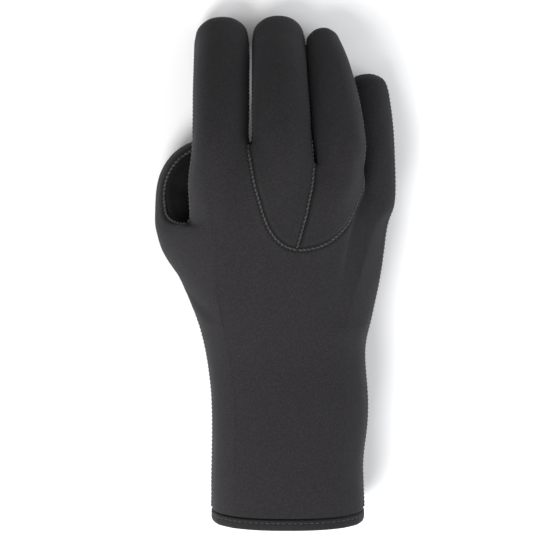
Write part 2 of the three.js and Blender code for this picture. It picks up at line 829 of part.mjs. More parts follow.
const glove = new THREE.Group();
glove.add(toMesh('back_panel', backShape, 0x37363a));
glove.add(toMesh('middle_finger_back', middleShape, 0x343337));
glove.add(toMesh('ring_finger_back', ringShape, 0x343337));
glove.add(toMesh('palm_panel', palmShape, 0x323135));
glove.add(toMesh('cuff_hem', hemSolid(), 0x2b2a2e));
const box = new THREE.Box3().setFromObject(glove);
glove.position.set(-(box.min.x + box.max.x) / 2, -(box.min.y + box.max.y) / 2, -box.min.z);

export default glove;
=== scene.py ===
import bpy
import math
import mathutils
import numpy as np
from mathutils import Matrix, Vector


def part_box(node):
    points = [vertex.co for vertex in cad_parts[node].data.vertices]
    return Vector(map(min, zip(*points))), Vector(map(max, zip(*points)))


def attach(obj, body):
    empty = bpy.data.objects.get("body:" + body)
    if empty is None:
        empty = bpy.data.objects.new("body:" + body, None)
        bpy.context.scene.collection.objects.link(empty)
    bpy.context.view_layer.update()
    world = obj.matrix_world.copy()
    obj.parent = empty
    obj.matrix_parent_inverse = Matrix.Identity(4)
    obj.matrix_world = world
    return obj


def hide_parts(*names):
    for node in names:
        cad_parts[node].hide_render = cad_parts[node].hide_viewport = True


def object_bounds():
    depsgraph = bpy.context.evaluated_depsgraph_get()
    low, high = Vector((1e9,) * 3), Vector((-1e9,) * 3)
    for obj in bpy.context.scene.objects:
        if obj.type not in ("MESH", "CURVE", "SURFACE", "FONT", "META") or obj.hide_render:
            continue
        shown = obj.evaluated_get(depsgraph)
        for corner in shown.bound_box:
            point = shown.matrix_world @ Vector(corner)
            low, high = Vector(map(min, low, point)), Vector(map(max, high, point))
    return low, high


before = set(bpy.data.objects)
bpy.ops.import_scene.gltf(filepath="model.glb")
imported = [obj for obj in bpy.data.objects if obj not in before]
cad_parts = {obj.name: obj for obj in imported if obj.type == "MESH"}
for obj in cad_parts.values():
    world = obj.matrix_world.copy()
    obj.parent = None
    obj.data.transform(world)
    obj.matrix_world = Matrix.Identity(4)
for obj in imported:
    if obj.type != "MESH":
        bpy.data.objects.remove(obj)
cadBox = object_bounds()
print("frame loaded")

# the glove's own sizes in millimetres, as in the part's source: y runs from the cuff's end
glove = {
    "length": 274.7,
    "cuffLength": 109.0,
    "cuffWidth": 83.0,
    "cuffHeight": 50.0,
    "palmWidth": 109.0,
    "knuckleHeight": 64.5,
    "seamGap": 0.3,
    "hemWidth": 6.8,
    "hemProud": 0.5,
    "rootShare": 0.721,     # the finger roots' place along the glove's length
    "backBulge": 2.2,       # how far the back of the palm swells
    "webBulge": 0.9,        # and how far the webs between the fingers do
    "crotchLift": 0.28,     # the crotches' height, a share of their fingers' half heights
    "thumbSwell": 0.16,     # the swell of the thumb's root, a share of its width
    "thumbSteps": [0.34, 0.68],
    "fingerStart": 0.62,    # a finger's first free ring, counted in rows
    "openRings": 4,         # rings of the hand that the thumb's opening spans
    "cuffRoundness": 2.35,
    "rootRoundness": 2.1,
    "fingerRoundness": 2.15,
    "easedRings": 2,        # the eased stretch round the finger roots, in rings
    "easing": [0.33, -0.34, 0.33, -0.34],  # in and out by turns, so that nothing shrinks
    "fitRounds": 4,
    "levels": 3,            # how often the skin's cage is divided
}
rootY = glove["length"] * glove["rootShare"]
palmLength = rootY - glove["cuffLength"]

# powers of a palm section's share of the way, by which it leaves the wrist's shape
blend = {"across": 1.5, "low": 0.8, "lowMore": 0.35, "lowOver": 5, "root": 5}

# the hand's columns are counted from the right side's middle round over the top, and a
# finger's ring is counted in the same way
handSideSteps = 4
handTopSteps = 16
columnCount = 2 * (handSideSteps + handTopSteps)
topFirst = handSideSteps // 2
topLast = topFirst + handTopSteps
leftMiddle = columnCount // 2
lowFirst = topLast + handSideSteps
lowLast = lowFirst + handTopSteps
fingerSteps = 4
fingerRim = 4 * fingerSteps
nearby = 0.05  # a small step along a finger, counted in rows

# along, left, right, top, low: shares of the cuff's length, width and height
cuffRows = np.array([
    [0.000, -0.417, 0.588, 1.000, -0.025],
    [0.140, -0.419, 0.584, 1.004, -0.025],
    [0.275, -0.415, 0.580, 1.008, -0.025],
    [0.420, -0.412, 0.603, 1.006, -0.025],
    [0.560, -0.413, 0.611, 1.000, -0.025],
    [0.680, -0.422, 0.603, 0.992, -0.025],
    [0.800, -0.440, 0.590, 0.990, -0.015],
    [0.905, -0.464, 0.592, 1.006, 0.005],
    [1.000, -0.492, 0.616, 1.036, 0.030],
])
# along, left, right: shares of the palm's length and width
palmRows = np.array([
    [0.06, -0.392, 0.478],
    [0.20, -0.410, 0.496],
    [0.34, -0.412, 0.514],
    [0.48, -0.412, 0.528],
    [0.62, -0.414, 0.539],
    [0.76, -0.416, 0.550],
    [0.88, -0.416, 0.566],
    [1.00, -0.416, 0.578],
])
knuckleTop = np.array([0.57, 0.645, 0.78, 0.90, 0.955, 0.99, 0.975, 0.94, 0.87])
knuckleLow = np.array([0.29, 0.25, 0.37, 0.485, 0.50, 0.515, 0.50, 0.50, 0.56])
rootReach = np.array([0.755, 0.79, 0.862, 0.925, 1.000, 1.060, 1.112, 1.10, 1.060])

# each finger's rows: x, y, z (shares of palm width, glove length, knuckle height), half
# width and half height (shares of the finger's width), and its seams' turn in degrees
fingers = {
    "pinky": {"width": 25.0, "blunt": 2.3, "rings": 6, "rows": [
        [0.481, 0.677, 0.396, 0.485, 0.445, 0],
        [0.478, 0.724, 0.345, 0.492, 0.445, 0],
        [0.4745, 0.770, 0.280, 0.490, 0.445, 0],
        [0.469, 0.808, 0.215, 0.478, 0.437, 0],
        [0.462, 0.833, 0.170, 0.472, 0.430, 0],
        [0.458, 0.848, 0.158, 0.465, 0.425, 0]]},
    "ring": {"width": 28.4, "blunt": 2.0, "rings": 8, "rows": [
        [0.3150, 0.710, 0.702, 0.462, 0.470, 0],
        [0.3120, 0.756, 0.680, 0.478, 0.466, 0],
        [0.2945, 0.809, 0.592, 0.486, 0.460, 0],
        [0.277, 0.861, 0.475, 0.452, 0.446, 0],
        [0.258, 0.910, 0.325, 0.388, 0.425, 0],
        [0.240, 0.941, 0.205, 0.330, 0.395, 0]]},
    "middle": {"width": 31.0, "blunt": 2.6, "rings": 7, "rows": [
        [0.034, 0.745, 0.758, 0.492, 0.482, 0],
        [0.031, 0.798, 0.705, 0.494, 0.464, 0],
        [0.026, 0.850, 0.590, 0.478, 0.448, 0],
        [0.022, 0.903, 0.430, 0.462, 0.430, 0],
        [0.0205, 0.930, 0.300, 0.458, 0.415, 0],
        [0.0185, 0.9525, 0.190, 0.452, 0.405, 0]]},
    "index": {"width": 29.2, "blunt": 2.2, "rings": 7, "rows": [
        [-0.266, 0.748, 0.713, 0.496, 0.488, 0],
        [-0.262, 0.802, 0.655, 0.500, 0.472, 0],
        [-0.262, 0.850, 0.545, 0.503, 0.460, 0],
        [-0.262, 0.899, 0.405, 0.500, 0.445, 0],
        [-0.262, 0.930, 0.290, 0.500, 0.436, 0],
        [-0.264, 0.953, 0.190, 0.492, 0.425, 0]]},
    "thumb": {"width": 30.0, "blunt": 2.0, "rings": 8, "rows": [
        [-0.421, 0.556, 0.345, 0.500, 0.470, 78],
        [-0.452, 0.604, 0.280, 0.510, 0.440, 116],
        [-0.459, 0.645, 0.230, 0.512, 0.420, 130],
        [-0.430, 0.684, 0.200, 0.508, 0.408, 134],
        [-0.366, 0.708, 0.185, 0.490, 0.400, 134],
        [-0.292, 0.715, 0.180, 0.440, 0.395, 134]]},
}
# the skin between thumb and hand is filled out: how far its first rings move, and each
# column's part in that, as shares of the thumb's width
webFill = np.array([
    [-0.06, 0.08, 0.08], [-0.16, 0.18, 0.09], [-0.27, 0.29, 0.03], [-0.12, 0.12, 0.0]])
webShares = np.array([1, 0.8, 0.55, 0.3, 0.1, 0, 0, 0, 0, 0, 0, 0, 0, 0, 0.25, 0.6])
handFingers = ["pinky", "ring", "middle", "index"]
limbNames = ["hand", *handFingers, "thumb"]
# a fingertip's dome: its rings in degrees up from its rim, and the cloth's measure on it
dome = {"rings": [24.0, 46.0], "inner": 69.0, "top": 90.0, "clothAcross": 0.35, "clothAlong": 0.3}

# the U-shaped seam round the inset, and the seam between its halves: shares of the palm's
# width and the glove's length
insetSeam = np.array([
    [-0.110, 0.722], [-0.095, 0.689], [-0.073, 0.658], [-0.051, 0.628], [-0.019, 0.598],
    [0.026, 0.577], [0.075, 0.566], [0.138, 0.563], [0.215, 0.569], [0.275, 0.580],
    [0.330, 0.598], [0.368, 0.617], [0.398, 0.646], [0.420, 0.664]])
middleSeam = np.array([
    [0.1105, 0.5645], [0.134, 0.600], [0.153, 0.628], [0.167, 0.658], [0.183, 0.685]])

# from the glove's own origin to the frame's: the hem's left edge says where the cuff lies
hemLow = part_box("cuff_hem")[0]
cuffLeft = -cuffRows[0, 1] * glove["cuffWidth"]
shift = np.array([
    hemLow[0] * 1000 + cuffLeft + glove["hemProud"], cadBox[0][1] * 1000, 0.0])


# a column's place on the rim of a square two units wide, from the right side's middle
# round over the top: the sides have few steps and the top and bottom many
def squareRim(column, sideSteps, topSteps):
    half = sideSteps / 2
    total = 2 * sideSteps + 2 * topSteps
    c = np.mod(column, total)
    leftTop = half + topSteps
    leftLow = leftTop + sideSteps
    parts = [c <= half, c <= leftTop, c <= leftLow, c <= total - half]
    one = np.ones_like(c, dtype=float)
    u = np.select(parts, [
        one, 1 - 2 * (c - half) / topSteps, -one, -1 + 2 * (c - leftLow) / topSteps], one)
    v = np.select(parts, [c / half, one, 1 - (c - leftTop) / half, -one], (c - total) / half)
    return u, v


# the square's rim drawn in to a rounded section: |u|^n + |v|^n = 1
def roundedRim(u, v, roundness):
    size = (np.abs(u) ** roundness + np.abs(v) ** roundness) ** (1 / roundness)
    return u / size, v / size


# a smooth curve through a table's rows, read at places counted in rows (Catmull-Rom)
def smoothRows(rows, places):
    places = np.asarray(places, dtype=float)
    low = np.clip(np.floor(places).astype(int), 0, len(rows) - 2)
    t = (places - low)[:, None]
    at = lambda i: rows[np.clip(i, 0, len(rows) - 1)]
    p, q, r, s = at(low - 1), at(low), at(low + 1), at(low + 2)
    slopeQ, slopeR = (r - p) / 2, (s - q) / 2
    return (q * (2 * t**3 - 3 * t**2 + 1) + slopeQ * (t**3 - 2 * t**2 + t)
            + r * (3 * t**2 - 2 * t**3) + slopeR * (t**3 - t**2))


# a finger's centre, half sizes and turn at places along it; past its ends it runs straight
def fingerSections(finger, places):
    rows = np.array(finger["rows"], dtype=float)
    inside = np.clip(places, 0, len(rows) - 1)
    row = smoothRows(rows, inside)
    scale = np.array([glove["palmWidth"], glove["length"], glove["knuckleHeight"]])
    centre = row[:, :3] * scale
    inwards = np.where(places > inside, -nearby, nearby)
    near = smoothRows(rows, inside + inwards)[:, :3] * scale
    centre = centre + (centre - near) * (np.abs(places - inside) / nearby)[:, None]
    return centre, row[:, 3] * finger["width"], row[:, 4] * finger["width"], np.radians(row[:, 5])


# rings of points round a finger's centre line, each moved forward and shrunk
def fingerRings(finger, places, forward=0.0, shrink=1.0, rim=None):
    places = np.atleast_1d(np.asarray(places, dtype=float))
    centre, halfWidth, halfHeight, turn = fingerSections(finger, places)
    ahead, behind = [fingerSections(finger, places + step)[0] for step in (nearby, -nearby)]
    heading = ahead - behind
    heading /= np.linalg.norm(heading, axis=1)[:, None]
    side = np.stack([heading[:, 1], -heading[:, 0], np.zeros(len(places))], axis=1)
    side /= np.linalg.norm(side, axis=1)[:, None]
    up = np.cross(side, heading)
    u, v = rim or squareRim(np.arange(fingerRim), fingerSteps, fingerSteps)
    angle = np.arctan2(v, u)[None, :] + turn[:, None]
    across, high = roundedRim(np.cos(angle), np.sin(angle), glove["fingerRoundness"])
    forward, shrink = np.broadcast_to(forward, len(places)), np.broadcast_to(shrink, len(places))
    centre = centre + heading * forward[:, None]
    return (centre[:, None, :]
            + side[:, None, :] * (across * (halfWidth * shrink)[:, None])[..., None]
            + up[:, None, :] * (high * (halfHeight * shrink)[:, None])[..., None])


# the cage grows by blocks of points and by grids of four-sided faces between them
cage = {"points": [], "faces": [], "side": [], "limb": [], "uv": [], "count": 0}


# adds a block of points, none of them below the floor, and says their numbers
def addPoints(block):
    block = np.asarray(block, dtype=float)
    flat = block.reshape(-1, 3).copy()
    flat[:, 2] = np.maximum(flat[:, 2], 0)
    ids = np.arange(cage["count"], cage["count"] + len(flat)).reshape(block.shape[:-1])
    cage["points"].append(flat)
    cage["count"] += len(flat)
    return ids


def addFaces(corners, uv, side, limb):
    cage["faces"].append(corners[:, ::-1])
    cage["uv"].append(uv[:, ::-1])
    cage["side"].append(np.full(len(corners), side))
    cage["limb"].append(np.full(len(corners), limbNames.index(limb)))


# a cloth's own measure over a strip of the cage, in millimetres: across from its middle
# column, and along its middle column from the first ring
def clothPlace(points):
    steps = np.linalg.norm(np.diff(points, axis=1), axis=2)
    across = np.concatenate([np.zeros((len(points), 1)), np.cumsum(steps, axis=1)], axis=1)
    middle = points.shape[1] // 2
    across -= across[:, middle:middle + 1]
    rise = np.linalg.norm(np.diff(points[:, middle], axis=0), axis=1)
    down = np.concatenate([[0.0], np.cumsum(rise)])
    return np.stack([across, np.broadcast_to(down[:, None], across.shape)], axis=2)


# the four corners of every face in a grid
def gridCorners(grid):
    return np.stack([grid[:-1, :-1], grid[:-1, 1:], grid[1:, 1:], grid[1:, :-1]], axis=2)


# faces between the rings of an id grid: columns first to last are one strip of cloth
def addStrip(ids, first, last, side, limb, skip=None):
    points = np.concatenate(cage["points"])
    columns = np.arange(first, last + 1) % ids.shape[1]
    strip = ids[:, columns]
    uv = clothPlace(points[strip])
    corners, places = gridCorners(strip), gridCorners(uv)
    keep = np.ones(corners.shape[:2], dtype=bool)
    if skip is not None:
        keep = ~skip[:, np.arange(first, last) % ids.shape[1]]
    addFaces(corners[keep], places[keep], side, limb)
    return uv[-1, 0, 1]


# the hand's rings: the cuff's sections, then the palm's, which go over to the roots
columns = np.arange(columnCount)
onTop = (columns >= topFirst) & (columns <= topLast)
onSides = (columns < topFirst) | (columns > lowLast) | (
    (columns > topLast) & (columns < lowFirst))
# a column's place across the knuckles: 0 at the right side and 8 at the left
leftPlace = handTopSteps / 2
tablePlaces = np.arange(leftPlace + 1)
knucklePlace = np.select(
    [(columns <= topFirst) | (columns >= lowLast), columns <= topLast, columns <= lowFirst],
    [np.zeros(columnCount), (columns - topFirst) / 2, np.full(columnCount, leftPlace)],
    leftPlace - (columns - lowFirst) / 2)
rootOrder = []
for name in handFingers:
    centre, halfWidth, halfHeight, _ = fingerSections(fingers[name], np.array([0.0]))
    rootOrder.append((centre[0], halfWidth[0], halfHeight[0]))


def cuffSection(row, column):
    u, v = roundedRim(*squareRim(column, handSideSteps, handTopSteps), glove["cuffRoundness"])
    left, right = row[1] * glove["cuffWidth"], row[2] * glove["cuffWidth"]
    top, low = row[3] * glove["cuffHeight"], row[4] * glove["cuffHeight"]
    return left + (right - left) * (u + 1) / 2, low + (top - low) * (v + 1) / 2


# a column of the last ring: on its finger's root, or in the crotch between two fingers
def rootPoint(column):
    place = knucklePlace[column]
    y = glove["cuffLength"] + np.interp(place, tablePlaces, rootReach) * palmLength
    top, low = topFirst <= column <= topLast, lowFirst <= column <= lowLast
    if (top or low) and 0 < place < leftPlace and place % 2 == 0:
        right, left = rootOrder[int(place / 2) - 1], rootOrder[int(place / 2)]
        acrossX, acrossZ = right[0][0] - left[0][0], right[0][2] - left[0][2]
        lift = glove["crotchLift"] * (right[2] + left[2]) * (1 if top else -1)
        length = math.hypot(acrossX, acrossZ)
        middle = right[0] + (left[0] - right[0]) * right[1] / (right[1] + left[1])
        return [middle[0] - acrossZ / length * lift, y, middle[2] + acrossX / length * lift]
    index = min(int(place / 2), len(rootOrder) - 1)
    root = rootOrder[index]
    if top:
        rim = fingerSteps / 2 + fingerSteps * (place / 2 - index)
    elif low:
        rim = fingerRim - fingerSteps / 2 - fingerSteps * (place / 2 - index)
    elif column < topFirst:
        rim = column
    elif column > lowLast:
        rim = column - columnCount
    else:
        rim = column - leftMiddle + fingerRim / 2
    u, v = squareRim(np.array(float(rim)), fingerSteps, fingerSteps)
    across, up = roundedRim(u, v, glove["rootRoundness"])
    return [root[0][0] + across * root[1], y, root[0][2] + up * root[2]]


rootRing = np.array([rootPoint(c) for c in columns], dtype=float)
cuffRings = np.zeros((len(cuffRows), columnCount, 3))
start = glove["hemWidth"] + glove["seamGap"] / 2
for k, row in enumerate(cuffRows):
    cuffRings[k, :, 0], cuffRings[k, :, 2] = cuffSection(row, columns)
    cuffRings[k, :, 1] = start + (glove["cuffLength"] - start) * row[0]

# a palm section is the wrist's section carried over to the roots' by its share of the way
share = palmRows[:, :1]
wristX, wristZ = cuffSection(cuffRows[-1], columns)
wristLeft, wristRight = cuffRows[-1, 1:3] * glove["cuffWidth"]
indexRoot, pinkyRoot = rootOrder[-1], rootOrder[0]
rootLeft, rootRight = indexRoot[0][0] - indexRoot[1], pinkyRoot[0][0] + pinkyRoot[1]
acrossWrist = (wristX - wristLeft) / (wristRight - wristLeft)
acrossRoot = (rootRing[:, 0] - rootLeft) / (rootRight - rootLeft)
across = acrossWrist + (acrossRoot - acrossWrist) * share ** blend["across"]
edgeLeft, edgeRight = palmRows[:, 1:2] * glove["palmWidth"], palmRows[:, 2:3] * glove["palmWidth"]
level = glove["knuckleHeight"] * np.where(
    columns <= topLast, np.interp(knucklePlace, tablePlaces, knuckleTop),
    np.interp(knucklePlace, tablePlaces, knuckleLow))
level = np.where(onSides, rootRing[:, 2], level)
pastLeft = np.minimum((columns - leftMiddle) / blend["lowOver"], 1)
power = np.where(columns <= leftMiddle, 1.0, blend["low"] + blend["lowMore"] * pastLeft)
rise = wristZ + (level - wristZ) * share ** power
high = rise + (rootRing[:, 2] - rise) * share ** blend["root"]
high += glove["backBulge"] * np.sin(np.pi * share) * onTop
palmRings = np.stack([
    edgeLeft + (edgeRight - edgeLeft) * across,
    glove["cuffLength"] + (rootRing[:, 1] - glove["cuffLength"]) * share,
    high], axis=2)
palmRings[-1] = rootRing
handIds = addPoints(np.concatenate([cuffRings, palmRings]))

wristRing = len(cuffRows) - 1
openFrom = wristRing + 1
openTo = openFrom + glove["openRings"]
hole = np.zeros((len(handIds) - 1, columnCount), dtype=bool)
hole[openFrom:openTo, topLast:lowFirst] = True
addStrip(handIds, 0, leftMiddle, "back", "hand", hole)
addStrip(handIds, leftMiddle, columnCount, "palm", "hand", hole)

# the webs between the fingers, three points each
lastIds = handIds[-1]
handPoints = np.concatenate(cage["points"])
webs = []
webSteps = np.arange(1, fingerSteps)[:, None] / fingerSteps
for k in range(1, len(handFingers)):
    top = handPoints[lastIds[topFirst + fingerSteps * k]]
    low = handPoints[lastIds[lowLast - fingerSteps * k]]
    web = top + (low - top) * webSteps
    web[:, 1] += glove["webBulge"] * np.sin(np.pi * webSteps[:, 0])
    webs.append(addPoints(web))


# how far forward a ring of the dome lies, and how much it shrinks: with n for how blunt the
# tip is, (forward / reach)^n + shrink^n = 1
def domePlace(degrees, reach, blunt):
    angle = np.radians(degrees)
    return np.sin(angle) ** (2 / blunt) * reach, np.cos(angle) ** (2 / blunt)


# a finger or thumb: rings along it, then a dome of two rings and a grid of four by four
def addFinger(name, firstRings, places):
    finger = fingers[name]
    last = len(finger["rows"]) - 1.0
    _, halfWidth, halfHeight, _ = fingerSections(finger, np.array([last]))
    reach = (halfWidth[0] + halfHeight[0]) / 2
    forward, shrink = domePlace(dome["rings"], reach, finger["blunt"])
    own = fingerRings(finger, places)
    if name == "thumb":
        own[:2] += finger["width"] * webFill[2:, None] * webShares[None, :, None]
    own = addPoints(own)
    tip = addPoints(fingerRings(finger, [last, last], forward, shrink))
    ids = np.concatenate([np.array(firstRings), own, tip])
    alongEnd = addStrip(ids, 0, fingerRim // 2, "back", name)
    addStrip(ids, fingerRim // 2, fingerRim, "palm", name)
    u, v = np.meshgrid([-1.0, 0.0, 1.0], [-1.0, 0.0, 1.0])
    forward, shrink = domePlace([dome["inner"]], reach, finger["blunt"])
    inner = fingerRings(finger, [last], forward, shrink, (u.ravel(), v.ravel()))[0]
    forward, _ = domePlace([dome["top"]], reach, finger["blunt"])
    inner[len(inner) // 2] = fingerRings(finger, [last], forward, 0.0)[0, 0]
    half = fingerSteps // 2
    grid = np.zeros((fingerSteps + 1, fingerSteps + 1), dtype=int)
    rimU, rimV = squareRim(np.arange(fingerRim), fingerSteps, fingerSteps)
    grid[(rimV * half + half).astype(int), (rimU * half + half).astype(int)] = ids[-1]
    grid[1:-1, 1:-1] = addPoints(inner).reshape(fingerSteps - 1, -1)
    steps = np.arange(fingerSteps + 1.0) - half
    across, up = np.meshgrid(steps, steps)
    cloth = np.stack([across * reach * dome["clothAcross"],
                      alongEnd + (half - np.abs(up)) * reach * dome["clothAlong"]], axis=2)
    for rows, side in [(slice(half, None), "back"), (slice(0, half + 1), "palm")]:
        corners, uv = gridCorners(grid[rows]), gridCorners(cloth[rows])
        addFaces(corners.reshape(-1, 4), uv.reshape(-1, 4, 2), side, name)


# a finger's first ring takes its top and underside from the hand's last ring, and its sides
# from the webs or the hand's own sides
for i, name in enumerate(handFingers):
    top, low = topFirst + fingerSteps * i, lowLast - fingerSteps * (i + 1)
    ring = np.zeros(fingerRim, dtype=int)
    ring[2:7] = lastIds[top:top + fingerSteps + 1]
    ring[10:15] = lastIds[low:low + fingerSteps + 1]
    ring[[1, 0, 15]] = lastIds[[1, 0, -1]] if i == 0 else webs[i - 1]
    ring[7:10] = lastIds[leftMiddle - 1:leftMiddle + 2] if i == len(webs) else webs[i]
    lastRow = len(fingers[name]["rows"]) - 1
    addFinger(name, [ring], np.linspace(glove["fingerStart"], lastRow, fingers[name]["rings"]))

# the thumb leaves the opening's edge and goes over to its own first section
opening = np.concatenate([
    handIds[openTo, leftMiddle:topLast - 1:-1], handIds[openTo - 1:openFrom:-1, topLast],
    handIds[openFrom, topLast:lowFirst + 1], handIds[openFrom + 1:openTo, lowFirst],
    handIds[openTo, lowFirst:leftMiddle:-1]])
openingPoints = handPoints[opening]
thumb = fingers["thumb"]
goal = fingerRings(thumb, [0.0])[0]
outwards = np.maximum(np.sin((np.arange(fingerRim) - 1) * 2 * np.pi / fingerRim), 0)
thumbFirst = [opening]
for step, fill in zip(glove["thumbSteps"], webFill):
    ring = openingPoints + (goal - openingPoints) * step
    ring += thumb["width"] * fill * webShares[:, None]
    ring[:, 0] -= thumb["width"] * glove["thumbSwell"] * math.sin(math.pi * step) * outwards
    thumbFirst.append(addPoints(ring))
addFinger("thumb", thumbFirst, np.linspace(0, len(thumb["rows"]) - 1, thumb["rings"]))

points = np.concatenate(cage["points"])
faces = np.concatenate(cage["faces"])
faceUv = np.concatenate(cage["uv"])
faceSide = np.concatenate(cage["side"])
faceLimb = np.concatenate(cage["limb"])
print("cage", len(points), "points", len(faces), "faces")


# every edge of a set of faces, once, as pairs of its points
def edgesOf(corners):
    pairs = np.stack([corners, np.roll(corners, -1, axis=1)], axis=2).reshape(-1, 2)
    return np.unique(np.sort(pairs, axis=1), axis=0)


# the mean of every point's neighbours along the edges
def neighbourMean(values, edges):
    total = np.zeros_like(values)
    count = np.zeros(len(values))
    for a, b in [(0, 1), (1, 0)]:
        np.add.at(total, edges[:, a], values[edges[:, b]])
        np.add.at(count, edges[:, a], 1)
    return total / np.maximum(count, 1).reshape(-1, *[1] * (values.ndim - 1))


# eased a little where finger, thumb and hand meet, and nowhere else
cageEdges = edgesOf(faces)
eased = np.zeros(len(points), dtype=bool)
eased[np.concatenate([opening, *webs, lastIds])] = True
for _ in range(glove["easedRings"]):
    wider = eased.copy()
    wider[cageEdges[eased[cageEdges[:, 0]], 1]] = True
    wider[cageEdges[eased[cageEdges[:, 1]], 0]] = True
    eased = wider
for amount in glove["easing"]:
    mean = neighbourMean(points, cageEdges)
    points = np.where(eased[:, None], points + (mean - points) * amount, points)
    points[:, 2] = np.maximum(points[:, 2], 0)


# the cage divided by Catmull-Clark's rule, as arrays
def divided(cagePoints, levels, withMap=False):
    mesh = bpy.data.meshes.new("skinCage")
    mesh.from_pydata(cagePoints.tolist(), [], faces.tolist())
    if withMap:
        uvLayer = mesh.uv_layers.new(name="cloth")
        uvLayer.data.foreach_set("uv", faceUv.reshape(-1).astype(np.float32))
        for label, values in [("side", faceSide == "palm"), ("limb", faceLimb)]:
            data = mesh.attributes.new(label, "INT", "FACE")
            data.data.foreach_set("value", values.astype(np.int32))
    obj = bpy.data.objects.new("skinCage", mesh)
    bpy.context.scene.collection.objects.link(obj)
    rule = obj.modifiers.new("Divide", "SUBSURF")
    rule.levels = rule.render_levels = levels
    rule.use_limit_surface = True
    rule.uv_smooth = "PRESERVE_BOUNDARIES"
    done = obj.evaluated_get(bpy.context.evaluated_depsgraph_get()).to_mesh()
    place = np.zeros(len(done.vertices) * 3, dtype=np.float32)
    done.vertices.foreach_get("co", place)
    result = [place.reshape(-1, 3).astype(float)]
    if withMap:
        corners = np.zeros(len(done.loops), dtype=np.int32)
        done.loops.foreach_get("vertex_index", corners)
        uv = np.zeros(len(done.loops) * 2, dtype=np.float32)
        done.uv_layers["cloth"].data.foreach_get("uv", uv)
        values = []
        for label in ["side", "limb"]:
            data = np.zeros(len(done.polygons), dtype=np.int32)
            done.attributes[label].data.foreach_get("value", data)
            values.append(data)
        result += [corners.reshape(-1, 4), uv.reshape(-1, 4, 2), *values]
    obj.to_mesh_clear()
    bpy.data.objects.remove(obj)
    bpy.data.meshes.remove(mesh)
    return result


# the cage is moved out until the divided skin runs through the points it was drawn from
target = points.copy()
for _ in range(glove["fitRounds"]):
    points = points + (target - divided(points, 1)[0][:len(points)])
skin, quads, quadUv, quadPalm, quadLimb = divided(points, glove["levels"], True)
skin[:, 2] = np.maximum(skin[:, 2], 0)
print("skin", len(skin), "points", len(quads), "faces")


# seams: how the skin dips and swells beside them, in millimetres
seams = {
    "dip": 0.75,          # how deep the round and middle seams lie
    "sideDip": 0.45,      # and the seams round the fingers and down the sides
    "dipWidth": 0.95,
    "swell": 0.32,        # the padded roll beside a seam
    "swellPlace": 3.1,
    "swellWidth": 1.7,
    "roundPoints": 220,
    "middlePoints": 90,
    "slideShare": 1.6,    # an edge's ends slide only if they lie this near the seam together:
    "slideMore": 0.3,     # the edge's length times the share, and so many millimetres more
    "fewest": 7,          # points of the shortest line that counts as a seam
}
seamKinds = ["round", "middle", "side"]


# how far along a line each of its points lies
def alongLine(line):
    return np.concatenate([[0], np.cumsum(np.linalg.norm(np.diff(line, axis=0), axis=1))])


# values given at some places along a line, read at others
def readAlong(wanted, lengths, values):
    return np.stack([np.interp(wanted, lengths, column) for column in values.T], axis=1)


# an even row of points along a smooth curve through a few, by Catmull-Rom
def smoothLine(line, count):
    dense = smoothRows(line, np.linspace(0, len(line) - 1, count * 4))
    lengths = alongLine(dense)
    return readAlong(np.linspace(0, lengths[-1], count), lengths, dense)


# distance from points to a line of short straight parts
def lineDistance(places, line):
    start, step = line[:-1], np.diff(line, axis=0)
    offset = places[:, None, :] - start[None]
    share = np.clip((offset * step).sum(2) / (step * step).sum(1), 0, 1)
    gap = np.linalg.norm(offset - share[..., None] * step, axis=2)
    return gap.min(axis=1)


# whether points lie inside a closed outline, by counting the sides crossed to their right
def insideOutline(places, outline):
    a, b = outline, np.roll(outline, -1, axis=0)
    x, y = places[:, :1], places[:, 1:2]
    straddles = (a[:, 1] > y) != (b[:, 1] > y)
    slope = (b[:, 0] - a[:, 0]) / np.where(b[:, 1] == a[:, 1], 1e-9, b[:, 1] - a[:, 1])
    return (straddles & (x < a[:, 0] + slope * (y - a[:, 1]))).sum(axis=1) % 2 == 1


planScale = np.array([glove["palmWidth"], glove["length"]])
pinkyCrotch, middleCrotch, indexCrotch = [
    skin[lastIds[topFirst + fingerSteps * k]] for k in (1, 2, 3)]
roundLine = smoothLine(
    np.vstack([indexCrotch[:2], insetSeam * planScale, pinkyCrotch[:2]]), seams["roundPoints"])
low = np.argmin(np.linalg.norm(roundLine - middleSeam[0] * planScale, axis=1))
middleLine = smoothLine(
    np.vstack([roundLine[low], middleSeam[1:] * planScale, middleCrotch[:2]]),
    seams["middlePoints"])
wide, far = planScale * [2, 1.2]  # past the glove's edges
insetOutline = np.vstack([roundLine, [pinkyCrotch[0], far], [indexCrotch[0], far]])
ringOutline = np.vstack([
    middleLine, [middleCrotch[0], far], [wide, far], [wide, 0], [middleLine[0, 0], 0]])

# points of the hand's back take a signed distance from each seam, and where an edge
# crosses the seam its nearer end slides along it on to the seam
onBack = np.zeros(len(skin), dtype=bool)
handBack = (quadLimb == 0) & (quadPalm == 0)
onBack[quads[handBack]] = True
onBack &= skin[:, 1] > glove["cuffLength"]
skinEdges = edgesOf(quads)


# millimetres from the line for points of the back, below zero outside the outline
def signedDistance(line, outline):
    signed = np.full(len(skin), -far)
    signed[onBack] = (lineDistance(skin[onBack, :2], line)
                      * np.where(insideOutline(skin[onBack, :2], outline), 1, -1))
    return signed


